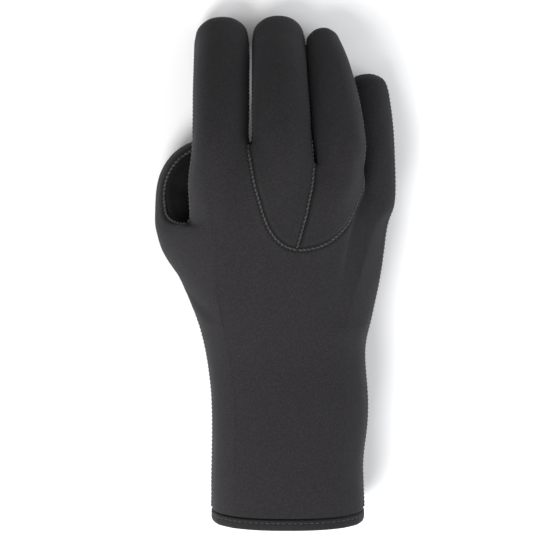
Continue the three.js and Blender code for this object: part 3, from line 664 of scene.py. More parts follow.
# points next to a seam are slid on to it along their edges, the farthest first
def slideOn(signed, allowed):
    a, b = skinEdges[allowed[skinEdges].all(axis=1)].T
    crossing = signed[a] * signed[b] < 0
    a, b = a[crossing], b[crossing]
    length = np.linalg.norm(skin[a, :2] - skin[b, :2], axis=1)
    apart = np.abs(signed[a]) + np.abs(signed[b])
    close = apart < length * seams["slideShare"] + seams["slideMore"]
    a, b = a[close], b[close]
    share = np.abs(signed[a]) / (np.abs(signed[a]) + np.abs(signed[b]))
    place = skin[a] + (skin[b] - skin[a]) * share[:, None]
    nearer = np.where(share < 0.5, a, b)
    moved = np.linalg.norm(place - skin[nearer], axis=1)
    order = np.argsort(-moved)
    skin[nearer[order]] = place[order]
    signed[nearer] = 0.0


roundSigned = signedDistance(roundLine, insetOutline)
slideOn(roundSigned, onBack)
middleSigned = signedDistance(middleLine, ringOutline)
inInset = onBack & (roundSigned >= 0)
slideOn(middleSigned, inInset)

# the panels, and the one that each limb's back belongs to; a face that a seam crosses from
# corner to corner becomes two triangles
backPanel, middlePanel, ringPanel, palmPanel = range(4)
limbPanel = np.array([backPanel, backPanel, ringPanel, middlePanel, backPanel, backPanel])
quadPanel = np.where(quadPalm == 1, palmPanel, limbPanel[quadLimb])
roundCorners, middleCorners = roundSigned[quads], middleSigned[quads]
middleCorners = np.where(roundCorners < 0, np.nan, middleCorners)


# whether a face has corners on both sides of a seam
def mixed(values):
    known = np.nan_to_num(values)
    return (known.max(axis=1) > 0) & (known.min(axis=1) < 0)


# the panel of a face, by which side of the inset's two seams most of it lies on
def insetPanel(roundValues, middleValues):
    inside = roundValues.sum(axis=1) > 0
    half = np.where(np.nansum(middleValues, axis=1) > 0, ringPanel, middlePanel)
    return np.where(inside, half, backPanel)


middleCorners[~handBack] = 0.0
splitRound = handBack & mixed(roundCorners)
splitMiddle = handBack & ~splitRound & (roundCorners >= 0).all(axis=1) & mixed(middleCorners)
split = splitRound | splitMiddle
zeroFirst = np.where(splitRound, roundCorners[:, 0] == 0, middleCorners[:, 0] == 0)
quadPanel = np.where(handBack, insetPanel(roundCorners, middleCorners), quadPanel)
quadMiddle = np.nan_to_num(middleCorners)
turned = np.where(zeroFirst[:, None], [0, 1, 2, 3], [1, 2, 3, 0])
rows = np.nonzero(split)[0][:, None]
order = turned[split]
triOrder = np.concatenate([order[:, [0, 1, 2]], order[:, [0, 2, 3]]])
triRows = np.concatenate([rows, rows])
tris, triUv = quads[triRows, triOrder], quadUv[triRows, triOrder]
triPanel = insetPanel(roundSigned[tris], quadMiddle[triRows, triOrder])
wholeQuads, wholeUv, wholePanel = quads[~split], quadUv[~split], quadPanel[~split]
print("panels cut,", len(tris), "triangles beside the inset's seams")


# the edges where two panels meet, with the lower and the higher number of the two
def edgePanels():
    pairs, panels = [], []
    for corners, panel in [(wholeQuads, wholePanel), (tris, triPanel)]:
        for k in range(corners.shape[1]):
            pairs.append(np.sort(corners[:, [k, (k + 1) % corners.shape[1]]], axis=1))
            panels.append(panel)
    pairs, panels = np.concatenate(pairs), np.concatenate(panels)
    order = np.lexsort((panels, pairs[:, 1], pairs[:, 0]))
    pairs, panels = pairs[order], panels[order]
    same = (pairs[1:] == pairs[:-1]).all(axis=1) & (panels[1:] != panels[:-1])
    return pairs[:-1][same], panels[:-1][same], panels[1:][same]


# loose edges walked into lines of points from end to end
def walkLines(pairs):
    near = {}
    for a, b in pairs.tolist():
        near.setdefault(a, []).append(b)
        near.setdefault(b, []).append(a)
    ends = [p for p in near if len(near[p]) != 2]
    used, lines = set(), []
    for start in ends + list(near):
        for step in near[start]:
            if (start, step) in used:
                continue
            line, last, here = [start], start, step
            used.update([(start, step), (step, start)])
            while True:
                line.append(here)
                if here == line[0] or len(near[here]) != 2:
                    break
                following = [p for p in near[here] if p != last][0]
                if (here, following) in used:
                    break
                used.update([(here, following), (following, here)])
                last, here = here, following
            lines.append(np.array(line))
    return lines


seamPairs, seamLow, seamHigh = edgePanels()
seamLines = []
for name, low, high in [
        ("round", backPanel, middlePanel), ("round", backPanel, ringPanel),
        ("middle", middlePanel, ringPanel), ("side", backPanel, palmPanel),
        ("side", middlePanel, palmPanel), ("side", ringPanel, palmPanel)]:
    chosen = (seamLow == low) & (seamHigh == high)
    for line in walkLines(seamPairs[chosen]):
        if len(line) >= seams["fewest"]:
            seamLines.append((name, low, line))
print("seams", [(name, low, len(line)) for name, low, line in seamLines])


# the mean direction of the faces round each point: a quad's is the cross of its diagonals
def pointNormals(places, cornerSets):
    total = np.zeros_like(places)
    for corners in cornerSets:
        a, b, c = [places[corners[:, k]] for k in range(3)]
        if corners.shape[1] == 3:
            normal = np.cross(b - a, c - a)
        else:
            normal = np.cross(c - a, places[corners[:, 3]] - b)
        for k in range(corners.shape[1]):
            np.add.at(total, corners[:, k], normal)
    return total / np.maximum(np.linalg.norm(total, axis=1), 1e-12)[:, None]


# the seams' points in one row, each with its place along its own seam
samples = np.concatenate([skin[line] for _, _, line in seamLines])
sampleAlong = np.concatenate([alongLine(skin[line]) for _, _, line in seamLines])
sampleKind = np.concatenate([
    np.full(len(line), seamKinds.index(name)) for name, _, line in seamLines])
breaks = np.cumsum([len(line) for _, _, line in seamLines])[:-1]
hasNext = np.ones(len(samples), dtype=bool)
hasNext[np.append(breaks - 1, len(samples) - 1)] = False


# every point's distance to the nearest seam, how far along that seam, and its kind
def nearestSeam(places):
    distance = np.zeros(len(places))
    alongSeam = np.zeros(len(places))
    kind = np.zeros(len(places), dtype=int)
    squares = (samples ** 2).sum(axis=1)
    block = 6000  # points at a time, to save memory
    for begin in range(0, len(places), block):
        part = places[begin:begin + block]
        nearest = np.argmin(squares[None] - 2 * part @ samples.T, axis=1)
        best = np.linalg.norm(part - samples[nearest], axis=1)
        at = sampleAlong[nearest].copy()
        for first in [nearest - 1, nearest]:
            valid = (first >= 0) & hasNext[np.clip(first, 0, len(samples) - 1)]
            first = np.clip(first, 0, len(samples) - 2)
            step = samples[first + 1] - samples[first]
            length = np.maximum((step ** 2).sum(axis=1), 1e-9)
            share = np.clip(((part - samples[first]) * step).sum(axis=1) / length, 0, 1)
            gap = np.linalg.norm(part - samples[first] - step * share[:, None], axis=1)
            closer = valid & (gap < best)
            best = np.where(closer, gap, best)
            at = np.where(closer, sampleAlong[first] + share * np.sqrt(length), at)
        distance[begin:begin + block] = best
        alongSeam[begin:begin + block] = at
        kind[begin:begin + block] = sampleKind[nearest]
    return distance, alongSeam, kind


seamDistance, seamAlong, seamKind = nearestSeam(skin)
skinNormals = pointNormals(skin, [wholeQuads, tris])


softness = {
    "wave": 0.30, "waveLength": 46.0, "waveSeed": 4,
    "ripple": 0.10, "rippleLength": 15.0, "rippleSeed": 9,
    "waves": 7,
    "spread": 1.6,       # brings a sum of waves to about -1 to 1
    "seamQuiet": 4.0,    # millimetres over which the waves die down towards a seam
    "hemQuiet": 6.0,     # and everything does towards the hem
}
creases = {
    "deep": 0.85, "width": 2.3, "shares": [0.30, 0.40, 0.50, 0.66, 0.76],
    "fromSeam": 2.0, "overSeam": 6.0,
}


# slow unevenness of a soft wall: a sum of sine waves over space
def softWaves(places, length, seed):
    rng = np.random.default_rng(seed)
    total = np.zeros(len(places))
    for _ in range(softness["waves"]):
        heading = rng.normal(size=3)
        heading /= np.linalg.norm(heading)
        pitch = length * rng.uniform(0.7, 1.5)
        total += np.sin(places @ heading * 2 * np.pi / pitch + rng.uniform(0, 2 * np.pi))
    return total / softness["waves"] ** 0.5 / softness["spread"]


# dents and folds in the wall: waves, the dip and swell at seams, and creases inside the
# fingers' bends, where the cloth's place along the finger says how far round the bend
clothAlong = np.zeros(len(skin))
clothAlong[quads] = quadUv[:, :, 1]
limbOf = np.zeros(len(skin), dtype=int)
limbOf[quads] = quadLimb[:, None]
palmOf = np.zeros(len(skin), dtype=bool)
palmOf[quads[quadPalm == 1]] = True

dip = np.where(seamKind == seamKinds.index("side"), seams["sideDip"], seams["dip"])
height = softness["wave"] * softWaves(skin, softness["waveLength"], softness["waveSeed"])
height += softness["ripple"] * softWaves(skin, softness["rippleLength"], softness["rippleSeed"])
height *= np.clip(seamDistance / softness["seamQuiet"], 0, 1)
height -= dip * np.exp(-(seamDistance / seams["dipWidth"]) ** 2)
height += seams["swell"] * np.exp(
    -((seamDistance - seams["swellPlace"]) / seams["swellWidth"]) ** 2)
fromSeam = np.clip((seamDistance - creases["fromSeam"]) / creases["overSeam"], 0, 1)
for limb in range(1, len(limbNames)):
    own = (limbOf == limb) & palmOf
    end = clothAlong[limbOf == limb].max()
    for crease in creases["shares"]:
        depth = np.exp(-((clothAlong - crease * end) / creases["width"]) ** 2)
        height -= np.where(own, creases["deep"] * depth * fromSeam, 0)
height *= np.clip((skin[:, 1] - glove["hemWidth"]) / softness["hemQuiet"], 0, 1)
skin = skin + skinNormals * height[:, None]
skin[:, 2] = np.maximum(skin[:, 2], 0.0)
skinNormals = pointNormals(skin, [wholeQuads, tris])
print("skin shaped")


# from the glove's own millimetres to the frame's metres
def placed(places):
    return (places + shift) / 1000


# a mesh from points and sets of faces, each set with its own number of corners
def newPiece(name, places, cornerSets, uvSets, material, values=None):
    mesh = bpy.data.meshes.new(name)
    mesh.vertices.add(len(places))
    mesh.vertices.foreach_set("co", placed(places).astype(np.float32).ravel())
    sizes = np.concatenate([np.full(len(c), c.shape[1]) for c in cornerSets])
    flat = np.concatenate([c.ravel() for c in cornerSets])
    mesh.loops.add(len(flat))
    mesh.loops.foreach_set("vertex_index", flat.astype(np.int32))
    mesh.polygons.add(len(sizes))
    starts = np.concatenate([[0], np.cumsum(sizes)[:-1]])
    mesh.polygons.foreach_set("loop_start", starts.astype(np.int32))
    if uvSets is not None:
        layer = mesh.uv_layers.new(name="cloth")
        flatUv = np.concatenate([u.reshape(-1, 2) for u in uvSets]) / 1000
        layer.data.foreach_set("uv", flatUv.astype(np.float32).ravel())
    for label, numbers in (values or {}).items():
        data = mesh.attributes.new(label, "FLOAT", "POINT")
        data.data.foreach_set("value", numbers.astype(np.float32))
    mesh.polygons.foreach_set("use_smooth", np.ones(len(sizes), dtype=bool))
    mesh.update()
    mesh.validate()
    mesh.materials.append(material)
    piece = bpy.data.objects.new(name, mesh)
    bpy.context.scene.collection.objects.link(piece)
    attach(piece, "root")
    return piece


# one panel's faces with only their own points; it takes the place of a node of the part
def panelPiece(name, panel, material, node):
    sets = [wholeQuads[wholePanel == panel], tris[triPanel == panel]]
    uvs = [wholeUv[wholePanel == panel], triUv[triPanel == panel]]
    kept = [k for k in range(2) if len(sets[k])]
    sets, uvs = [sets[k] for k in kept], [uvs[k] for k in kept]
    used, flat = np.unique(np.concatenate([c.ravel() for c in sets]), return_inverse=True)
    cuts = np.cumsum([c.size for c in sets])[:-1]
    sets = [part.reshape(-1, c.shape[1]) for part, c in zip(np.split(flat, cuts), sets)]
    values = {"seamDistance": seamDistance[used], "seamAlong": seamAlong[used]}
    piece = newPiece(name, skin[used], sets, uvs, material, values)
    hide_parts(node)


# a socket takes a plain value, or a link from another node
def setSocket(tree, socket, value):
    if isinstance(value, bpy.types.NodeSocket):
        tree.links.new(value, socket)
    else:
        socket.default_value = value


# a node with its plain values set and its sockets joined
def addNode(tree, kind, inputs=None, **settings):
    made = tree.nodes.new(kind)
    for label, value in settings.items():
        setattr(made, label, value)
    for socket, value in (inputs or {}).items():
        setSocket(tree, made.inputs[socket], value)
    return made


def mathNode(tree, operation, first, second=0.0, clamp=False):
    values = {0: first, 1: second}
    made = addNode(tree, "ShaderNodeMath", values, operation=operation, use_clamp=clamp)
    return made.outputs[0]


# a soft step from 0 at the low value to 1 at the high one
def softStep(tree, value, low, high):
    made = addNode(tree, "ShaderNodeMapRange", {
        "Value": value, "From Min": low, "From Max": high, "To Min": 0.0, "To Max": 1.0},
        interpolation_type="SMOOTHSTEP")
    return made.outputs["Result"]


# a colour mix; its colour sockets are numbers 6 and 7 of a Mix node
def mixColours(tree, factor, first, second, way="MIX"):
    made = addNode(tree, "ShaderNodeMix", data_type="RGBA", blend_type=way)
    for socket, value in [(0, factor), (6, first), (7, second)]:
        setSocket(tree, made.inputs[socket], value)
    return made.outputs[2]


# a node group with named sockets; returned with its inputs and outputs as they are inside
def newGroup(name, inputs, outputs):
    group = bpy.data.node_groups.new(name, "ShaderNodeTree")
    for label, kind, value in inputs:
        socket = group.interface.new_socket(label, in_out="INPUT", socket_type=kind)
        socket.default_value = value
    for label, kind in outputs:
        group.interface.new_socket(label, in_out="OUTPUT", socket_type=kind)
    source = group.nodes.new("NodeGroupInput")
    sink = group.nodes.new("NodeGroupOutput")
    return group, source.outputs, sink.inputs


# the knit's own numbers: noise scales are for metres, and painted shade is in shares of the colour
knit = {
    "slant": 1.3,          # how far a loop's legs lean, in courses
    "speckScale": 1150.0,
    "speckRange": (0.42, 0.68),
    "cloudScale": 60.0,
    "speckPart": 0.62,
    "stitchPart": 0.38,
    "cloudPart": 0.30,
    "valleyShade": 0.80,
    "loopShade": 0.25,
    "roughness": 0.78,
    "roughnessMore": 0.16,
}


# the nylon jersey bonded to the foam: columns of small looped stitches, each its own shade
def jerseyGroup():
    group, given, sink = newGroup("jersey", [
        ("Colour", "NodeSocketColor", (0.04, 0.04, 0.04, 1)),
        ("Light Yarn", "NodeSocketColor", (0.07, 0.07, 0.07, 1)),
        ("Melange", "NodeSocketFloat", 0.5),
        ("Column mm", "NodeSocketFloat", 0.75),
        ("Course mm", "NodeSocketFloat", 0.55),
    ], [
        ("Colour", "NodeSocketColor"),
        ("Height", "NodeSocketFloat"),
        ("Roughness", "NodeSocketFloat"),
    ])

    def calc(operation, first, second=0.0, clamp=False):
        return mathNode(group, operation, first, second, clamp)

    cloth = addNode(group, "ShaderNodeUVMap", uv_map="cloth").outputs["UV"]
    parts = addNode(group, "ShaderNodeSeparateXYZ", {0: cloth}).outputs
    across = calc("DIVIDE", calc("MULTIPLY", parts[0], 1000), given["Column mm"])
    along = calc("DIVIDE", calc("MULTIPLY", parts[1], 1000), given["Course mm"])
    inColumn = calc("FRACT", across)
    fromMiddle = calc("ABSOLUTE", calc("SUBTRACT", inColumn, 0.5))
    column = calc("SINE", calc("MULTIPLY", inColumn, math.pi))
    slanted = calc("ADD", along, calc("MULTIPLY", fromMiddle, knit["slant"]))
    course = calc("ABSOLUTE", calc("SINE", calc("MULTIPLY", slanted, math.pi)))
    height = calc("MULTIPLY", calc("POWER", column, 0.5), course)
    stitch = addNode(group, "ShaderNodeCombineXYZ", {
        0: calc("FLOOR", across), 1: calc("FLOOR", slanted)}).outputs[0]
    shade = addNode(group, "ShaderNodeTexWhiteNoise", {"Vector": stitch},
                    noise_dimensions="3D").outputs["Value"]
    place = addNode(group, "ShaderNodeTexCoord").outputs["Object"]
    speck = addNode(group, "ShaderNodeTexNoise", {
        "Vector": place, "Scale": knit["speckScale"], "Detail": 2.0,
        "Roughness": 0.6}).outputs["Fac"]
    cloud = addNode(group, "ShaderNodeTexNoise", {
        "Vector": place, "Scale": knit["cloudScale"], "Detail": 3.0,
        "Roughness": 0.55}).outputs["Fac"]
    specks = softStep(group, speck, *knit["speckRange"])
    light = calc("ADD", calc("MULTIPLY", specks, knit["speckPart"]),
                 calc("MULTIPLY", shade, knit["stitchPart"]))
    light = calc("ADD", light, calc("MULTIPLY", calc("SUBTRACT", cloud, 0.5), knit["cloudPart"]))
    light = calc("MULTIPLY", light, given["Melange"], clamp=True)
    colour = mixColours(group, light, given["Colour"], given["Light Yarn"])
    # painted shade: darker in the valleys between the knit's loops, lighter on their tops
    paintedKnitShade = calc("ADD", knit["valleyShade"], calc("MULTIPLY", height, knit["loopShade"]))
    grey = addNode(group, "ShaderNodeCombineColor", {0: paintedKnitShade, 1: paintedKnitShade, 2: paintedKnitShade}).outputs[0]
    colour = mixColours(group, 1.0, colour, grey, "MULTIPLY")
    roughness = calc("ADD", knit["roughness"], calc("MULTIPLY", cloud, knit["roughnessMore"]))
    group.links.new(colour, sink["Colour"])
    group.links.new(height, sink["Height"])
    group.links.new(roughness, sink["Roughness"])
    return group


# painted shade beside a seam: a thin dark line where the cloth turns under, and a row of needle
# holes
def seamShadeGroup():
    group, given, sink = newGroup("seamShade", [
        ("Line mm", "NodeSocketFloat", 0.9),
        ("Holes From mm", "NodeSocketFloat", 1.6),
        ("Hole mm", "NodeSocketFloat", 0.42),
        ("Pitch mm", "NodeSocketFloat", 1.7),
        ("Holes", "NodeSocketFloat", 1.0),
    ], [
        ("Line", "NodeSocketFloat"),
        ("Holes", "NodeSocketFloat"),
    ])

    def calc(operation, first, second=0.0, clamp=False):
        return mathNode(group, operation, first, second, clamp)

    distance = addNode(group, "ShaderNodeAttribute", attribute_name="seamDistance").outputs["Fac"]
    along = addNode(group, "ShaderNodeAttribute", attribute_name="seamAlong").outputs["Fac"]
    line = calc("SUBTRACT", 1.0, calc("DIVIDE", distance, given["Line mm"], True), True)
    off = calc("SUBTRACT", distance, given["Holes From mm"])
    inPitch = calc("FRACT", calc("DIVIDE", along, given["Pitch mm"]))
    offAlong = calc("MULTIPLY", calc("SUBTRACT", inPitch, 0.5), given["Pitch mm"])
    radius = calc("SQRT", calc("ADD", calc("MULTIPLY", off, off),
                               calc("MULTIPLY", offAlong, offAlong)))
    hole = calc("SUBTRACT", 1.0, calc("DIVIDE", radius, given["Hole mm"], True), True)
    softHole = calc("MULTIPLY", softStep(group, hole, 0.0, 0.6), given["Holes"])
    group.links.new(softStep(group, line, 0.0, 0.8), sink["Line"])
    group.links.new(softHole, sink["Holes"])
    return group


jersey, seamShade = jerseyGroup(), seamShadeGroup()


# neoprene faced with jersey; its plain numbers sit on the shader's own sockets
def neopreneMaterial(name, look, marks=None):
    material = bpy.data.materials.new(name)
    material.use_nodes = True
    tree = material.node_tree
    shader = tree.nodes["Principled BSDF"]
    cloth = addNode(tree, "ShaderNodeGroup", node_tree=jersey)
    for label, value in {
            "Colour": (*look["colour"], 1), "Light Yarn": (*look["lightYarn"], 1),
            "Melange": look["melange"], "Column mm": look["columnMm"],
            "Course mm": look["courseMm"]}.items():
        cloth.inputs[label].default_value = value
    colour, height = cloth.outputs["Colour"], cloth.outputs["Height"]
    if marks:
        seam = addNode(tree, "ShaderNodeGroup", node_tree=seamShade)
        for label, value in marks.items():
            seam.inputs[label].default_value = value
        # painted shade: the seam's crease and its needle holes darken the colour, and the bump
        # sinks them
        dark = mathNode(tree, "MAXIMUM", seam.outputs["Line"], seam.outputs["Holes"])
        strength = mathNode(tree, "MULTIPLY", dark, look["seamShadeStrength"])
        colour = mixColours(tree, strength, colour, (*look["seamShadeColour"], 1))
        depth = mathNode(tree, "MULTIPLY", dark, look["markDepth"])
        height = mathNode(tree, "SUBTRACT", height, depth)
    tree.links.new(colour, shader.inputs["Base Color"])
    tree.links.new(cloth.outputs["Roughness"], shader.inputs["Roughness"])
    bump = addNode(tree, "ShaderNodeBump", {
        "Height": height, "Strength": look["bump"], "Distance": look["bumpMm"] / 1000})
    tree.links.new(bump.outputs["Normal"], shader.inputs["Normal"])
    shader.inputs["Specular IOR Level"].default_value = look["specular"]
    shader.inputs["Sheen Weight"].default_value = look["sheen"]
    shader.inputs["Sheen Roughness"].default_value = look["sheenRoughness"]
    shader.inputs["Sheen Tint"].default_value = (*look["sheenTint"], 1)
    return material


backLook = {
    "colour": (0.0104, 0.0093, 0.0104),
    "lightYarn": (0.0290, 0.0266, 0.0289),
    "melange": 0.55,
    "columnMm": 0.75,
    "courseMm": 0.55,
    "bump": 0.5,
    "bumpMm": 0.12,
    "specular": 0.25,
    "sheen": 0.05,
    "sheenRoughness": 0.45,
    "sheenTint": (0.9, 0.9, 1.0),
    # the painted shade in the seams' creases and needle holes, and how much of the cloth it covers
    "seamShadeColour": (0.002, 0.002, 0.002),
    "seamShadeStrength": 0.86,
    "markDepth": 3.0,
}
# the palm's colour is darker than the back's: partly its own darker cloth, and partly painted
# shade for the deep pocket between thumb and hand
palmLook = dict(
    backLook, colour=(0.0022, 0.0020, 0.0022), lightYarn=(0.0080, 0.0075, 0.0080), melange=0.5,
    sheen=0.02, specular=0.15)
hemLook = dict(backLook, colour=(0.0095, 0.0090, 0.0098), lightYarn=(0.022, 0.0210, 0.0225))
liningLook = dict(
    backLook, colour=(0.030, 0.031, 0.034), lightYarn=(0.050, 0.051, 0.055), sheen=0.25,
    melange=0.5)
# where the seams' painted shade lies: the width of its dark line, and its needle holes' size and
# spacing
backMarks = {"Line mm": 1.0, "Holes From mm": 1.6, "Hole mm": 0.72, "Pitch mm": 1.7, "Holes": 1.0}
insetMarks = {"Line mm": 2.5, "Holes From mm": 2.4, "Hole mm": 0.3, "Pitch mm": 1.7, "Holes": 0.0}
neopreneBack = neopreneMaterial("neopreneBack", backLook, backMarks)
neopreneInset = neopreneMaterial("neopreneInset", backLook, insetMarks)
neoprenePalm = neopreneMaterial("neoprenePalm", palmLook, dict(backMarks, Holes=0.6))
neopreneHem = neopreneMaterial("neopreneHem", hemLook)
neopreneLining = neopreneMaterial("neopreneLining", liningLook)

panelPiece("backPanelSkin", backPanel, neopreneBack, "back_panel")
panelPiece(
    "middleFingerSkin", middlePanel, neopreneInset, "middle_finger_back")
panelPiece("ringFingerSkin", ringPanel, neopreneInset, "ring_finger_back")
panelPiece("palmPanelSkin", palmPanel, neoprenePalm, "palm_panel")
print("panels made")


# thread is a grid swept along a seam: a ring of points round each place on the line, with
# radius r (1 + d cos(angle - phase)), where the phase turns with the twist of the plies
thread = {
    "radius": 0.60,
    "sides": 8,
    "step": 0.27,
    "smoothing": 10,       # rounds of evening out the seam's line
    "twistPitch": 2.3,     # one full turn of the two plies, in millimetres
    "plyDepth": 0.28,
    "lift": {"round": 0.12, "middle": 0.12, "side": 0.22},
    "aside": {"round": 0.55, "middle": 0.35, "side": 0.15},
    "taper": 0.8,          # an end narrows over this length
    "thinnest": 0.05,      # down to this share of the radius
    "aboveFloor": 0.02,
    "lookStep": 0.5,       # to find a seam's side: the line's step, and how far from its
    "lookReach": 4.0,      # middle the panel's points are looked at
}


# a line evened out to equal steps, with its surface normals, and smoothed a little
def evenLine(ids, step):
    line, normal = skin[ids].copy(), skinNormals[ids].copy()
    for _ in range(thread["smoothing"]):
        line[1:-1] = line[1:-1] * 0.5 + (line[:-2] + line[2:]) * 0.25
        normal[1:-1] = normal[1:-1] * 0.5 + (normal[:-2] + normal[2:]) * 0.25
    lengths = alongLine(line)
    even = np.linspace(0, lengths[-1], int(lengths[-1] / step) + 2)
    line, normal = readAlong(even, lengths, line), readAlong(even, lengths, normal)
    tangent = np.gradient(line, axis=0)
    tangent /= np.linalg.norm(tangent, axis=1)[:, None]
    normal -= tangent * (normal * tangent).sum(axis=1)[:, None]
    normal /= np.linalg.norm(normal, axis=1)[:, None]
    return line, normal, np.cross(normal, tangent), even


# which side of a seam its lower-numbered panel lies on: 1 or -1 along the cross line
def lowSide(ids, panel):
    line, _, cross, _ = evenLine(ids, thread["lookStep"])
    half = len(line) // 2
    used = np.unique(wholeQuads[wholePanel == panel])
    close = used[np.linalg.norm(skin[used] - line[half], axis=1) < thread["lookReach"]]
    return np.sign(((skin[close] - line[half]) @ cross[half]).mean())


# all the thread of some kinds of seam, as one mesh with closed ends
def threadPiece(name, kinds, material):
    walls, caps, places, plies = [], [], [], []
    total = 0
    turn = np.linspace(0, 2 * np.pi, thread["sides"], endpoint=False)
    for kind, panel, ids in seamLines:
        if kind not in kinds:
            continue
        line, normal, cross, along = evenLine(ids, thread["step"])
        side = lowSide(ids, panel)
        centre = line + normal * thread["lift"][kind] + cross * thread["aside"][kind] * side
        phase = 2 * np.pi * along / thread["twistPitch"]
        fromEnd = np.minimum(along, along[-1] - along)
        ends = np.clip(fromEnd / thread["taper"], thread["thinnest"], 1)
        wave = np.cos(turn[None] - phase[:, None])
        radius = thread["radius"] * ends[:, None] * (1 + thread["plyDepth"] * wave)
        ring = (centre[:, None] + cross[:, None] * (np.cos(turn) * radius)[..., None]
                + normal[:, None] * (np.sin(turn) * radius)[..., None])
        ring[..., 2] = np.maximum(ring[..., 2], thread["aboveFloor"])
        ringIds = total + np.arange(ring[..., 0].size).reshape(ring.shape[:2])
        after = np.roll(ringIds, -1, axis=1)
        wall = np.stack([ringIds[:-1], after[:-1], after[1:], ringIds[1:]], axis=2)
        walls.append(wall.reshape(-1, 4))
        caps += [ringIds[0][::-1], ringIds[-1]]
        places.append(ring.reshape(-1, 3))
        # ply: 1 where the twist bulges out and 0 in the groove between its turns, where the shade
        # is painted
        plies.append((0.5 + 0.5 * wave).ravel())
        total += ringIds.size
    return newPiece(name, np.concatenate(places), [np.concatenate(walls), np.array(caps)], None,
                    material, {"ply": np.concatenate(plies)})


threadLook = {
    "seamThread": [(0.0120, 0.0116, 0.0120), (0.044, 0.0425, 0.0435)],
    "sideThread": [(0.0060, 0.0058, 0.0060), (0.048, 0.046, 0.048)],
    "hemThread": [(0.012, 0.0115, 0.012), (0.044, 0.042, 0.044)],
    "fibreScale": 1400.0,
    "toneScale": 520.0,
    "plyRange": (0.0, 0.75),
    "toneRange": (0.28, 0.60),
    "roughness": 0.62,
    "specular": 0.35,
    "sheen": 0.1,
    "bump": 0.5,
    "bumpMm": 0.1,
}


# two plies wound round each other: the thread's own pale grey where the twist bulges out, with
# painted shade darkening the groove between its turns
def threadMaterial(name):
    dark, pale = threadLook[name]
    material = bpy.data.materials.new(name)
    material.use_nodes = True
    tree = material.node_tree
    shader = tree.nodes["Principled BSDF"]
    place = addNode(tree, "ShaderNodeTexCoord").outputs["Object"]
    fibre = addNode(tree, "ShaderNodeTexNoise", {
        "Vector": place, "Scale": threadLook["fibreScale"], "Detail": 2.0}).outputs["Fac"]
    tone = addNode(tree, "ShaderNodeTexNoise", {
        "Vector": place, "Scale": threadLook["toneScale"], "Detail": 1.0}).outputs["Fac"]
    ply = addNode(tree, "ShaderNodeAttribute", attribute_name="ply").outputs["Fac"]
    # painted shade: the colour darkens where the ply is low, in the groove of the twist
    light = mathNode(tree, "MULTIPLY", softStep(tree, ply, *threadLook["plyRange"]),
                     softStep(tree, tone, *threadLook["toneRange"]))
    colour = mixColours(tree, light, (*dark, 1), (*pale, 1))
    tree.links.new(colour, shader.inputs["Base Color"])
    shader.inputs["Roughness"].default_value = threadLook["roughness"]
    shader.inputs["Specular IOR Level"].default_value = threadLook["specular"]
    shader.inputs["Sheen Weight"].default_value = threadLook["sheen"]
    bump = addNode(tree, "ShaderNodeBump", {
        "Height": fibre, "Strength": threadLook["bump"], "Distance": threadLook["bumpMm"] / 1000})
    tree.links.new(bump.outputs["Normal"], shader.inputs["Normal"])
    return material


insetThread = threadMaterial("seamThread")
threadPiece("insetSeamThread", ["round", "middle"], insetThread)
threadPiece("sideSeamThread", ["side"], threadMaterial("sideThread"))
print("threads laid")

# the hem: one profile carried round the cuff's section. Its rows say how far along from
# the open end and how far out from the cuff's face each point of the profile lies
hem = {
    "around": 200,
    "profile": [
        [7.10, -1.40], [6.50, -1.35], [6.22, -0.60], [6.05, 0.06], [5.75, 0.36], [5.20, 0.46],
        [4.72, 0.30], [4.50, 0.20], [4.28, 0.30], [3.9, 0.46], [3.2, 0.50], [2.2, 0.50],
        [1.3, 0.42], [0.62, 0.16], [0.18, -0.35], [0.0, -1.05], [0.0, -1.9],
        [0.22, -2.55], [0.75, -2.98], [1.6, -3.08], [3.5, -3.1], [6.0, -3.1], [7.4, -3.02],
        [7.9, -2.7]],
    "floorShare": 0.98,     # how much of its own depth the underside keeps above the floor
    "stitchFrom": 4.5,
    "stitchProud": 0.30,
    "stitchPitch": 3.0,
    "stitchLong": 2.1,
    "stitchRadius": 0.27,
    "stitchPly": 0.8,       # how light the stitches' thread is, from 0 to 1
    "clearOfFloor": 0.4,    # no stitch is laid lower than this
    "pucker": 0.05,
    "puckerWidth": 1.0,
}


# the cuff's section at its open end as a smooth closed line, with its outward directions
def cuffLine(count):
    end = skin[handIds[0]]
    closed = np.vstack([end[-2:], end, end[:3]])
    dense = smoothRows(closed, np.linspace(2, columnCount + 2, 30 * columnCount))
    lengths = alongLine(dense)
    even = np.linspace(0, lengths[-1], count, endpoint=False)
    line = readAlong(even, lengths, dense)
    step = np.roll(line, -1, axis=0) - np.roll(line, 1, axis=0)
    step /= np.linalg.norm(step, axis=1)[:, None]
    return line, np.stack([step[:, 2], 0 * step[:, 0], -step[:, 0]], axis=1), even


# points of the hem: so far along from the open end, and so far out from the cuff's face
def hemPlaces(line, out, along, proud):
    place = line + out * proud[..., None]
    place[..., 1] = along
    lowest = np.maximum(-proud, 0) * hem["floorShare"]
    place[..., 2] = np.maximum(place[..., 2], lowest)
    return place


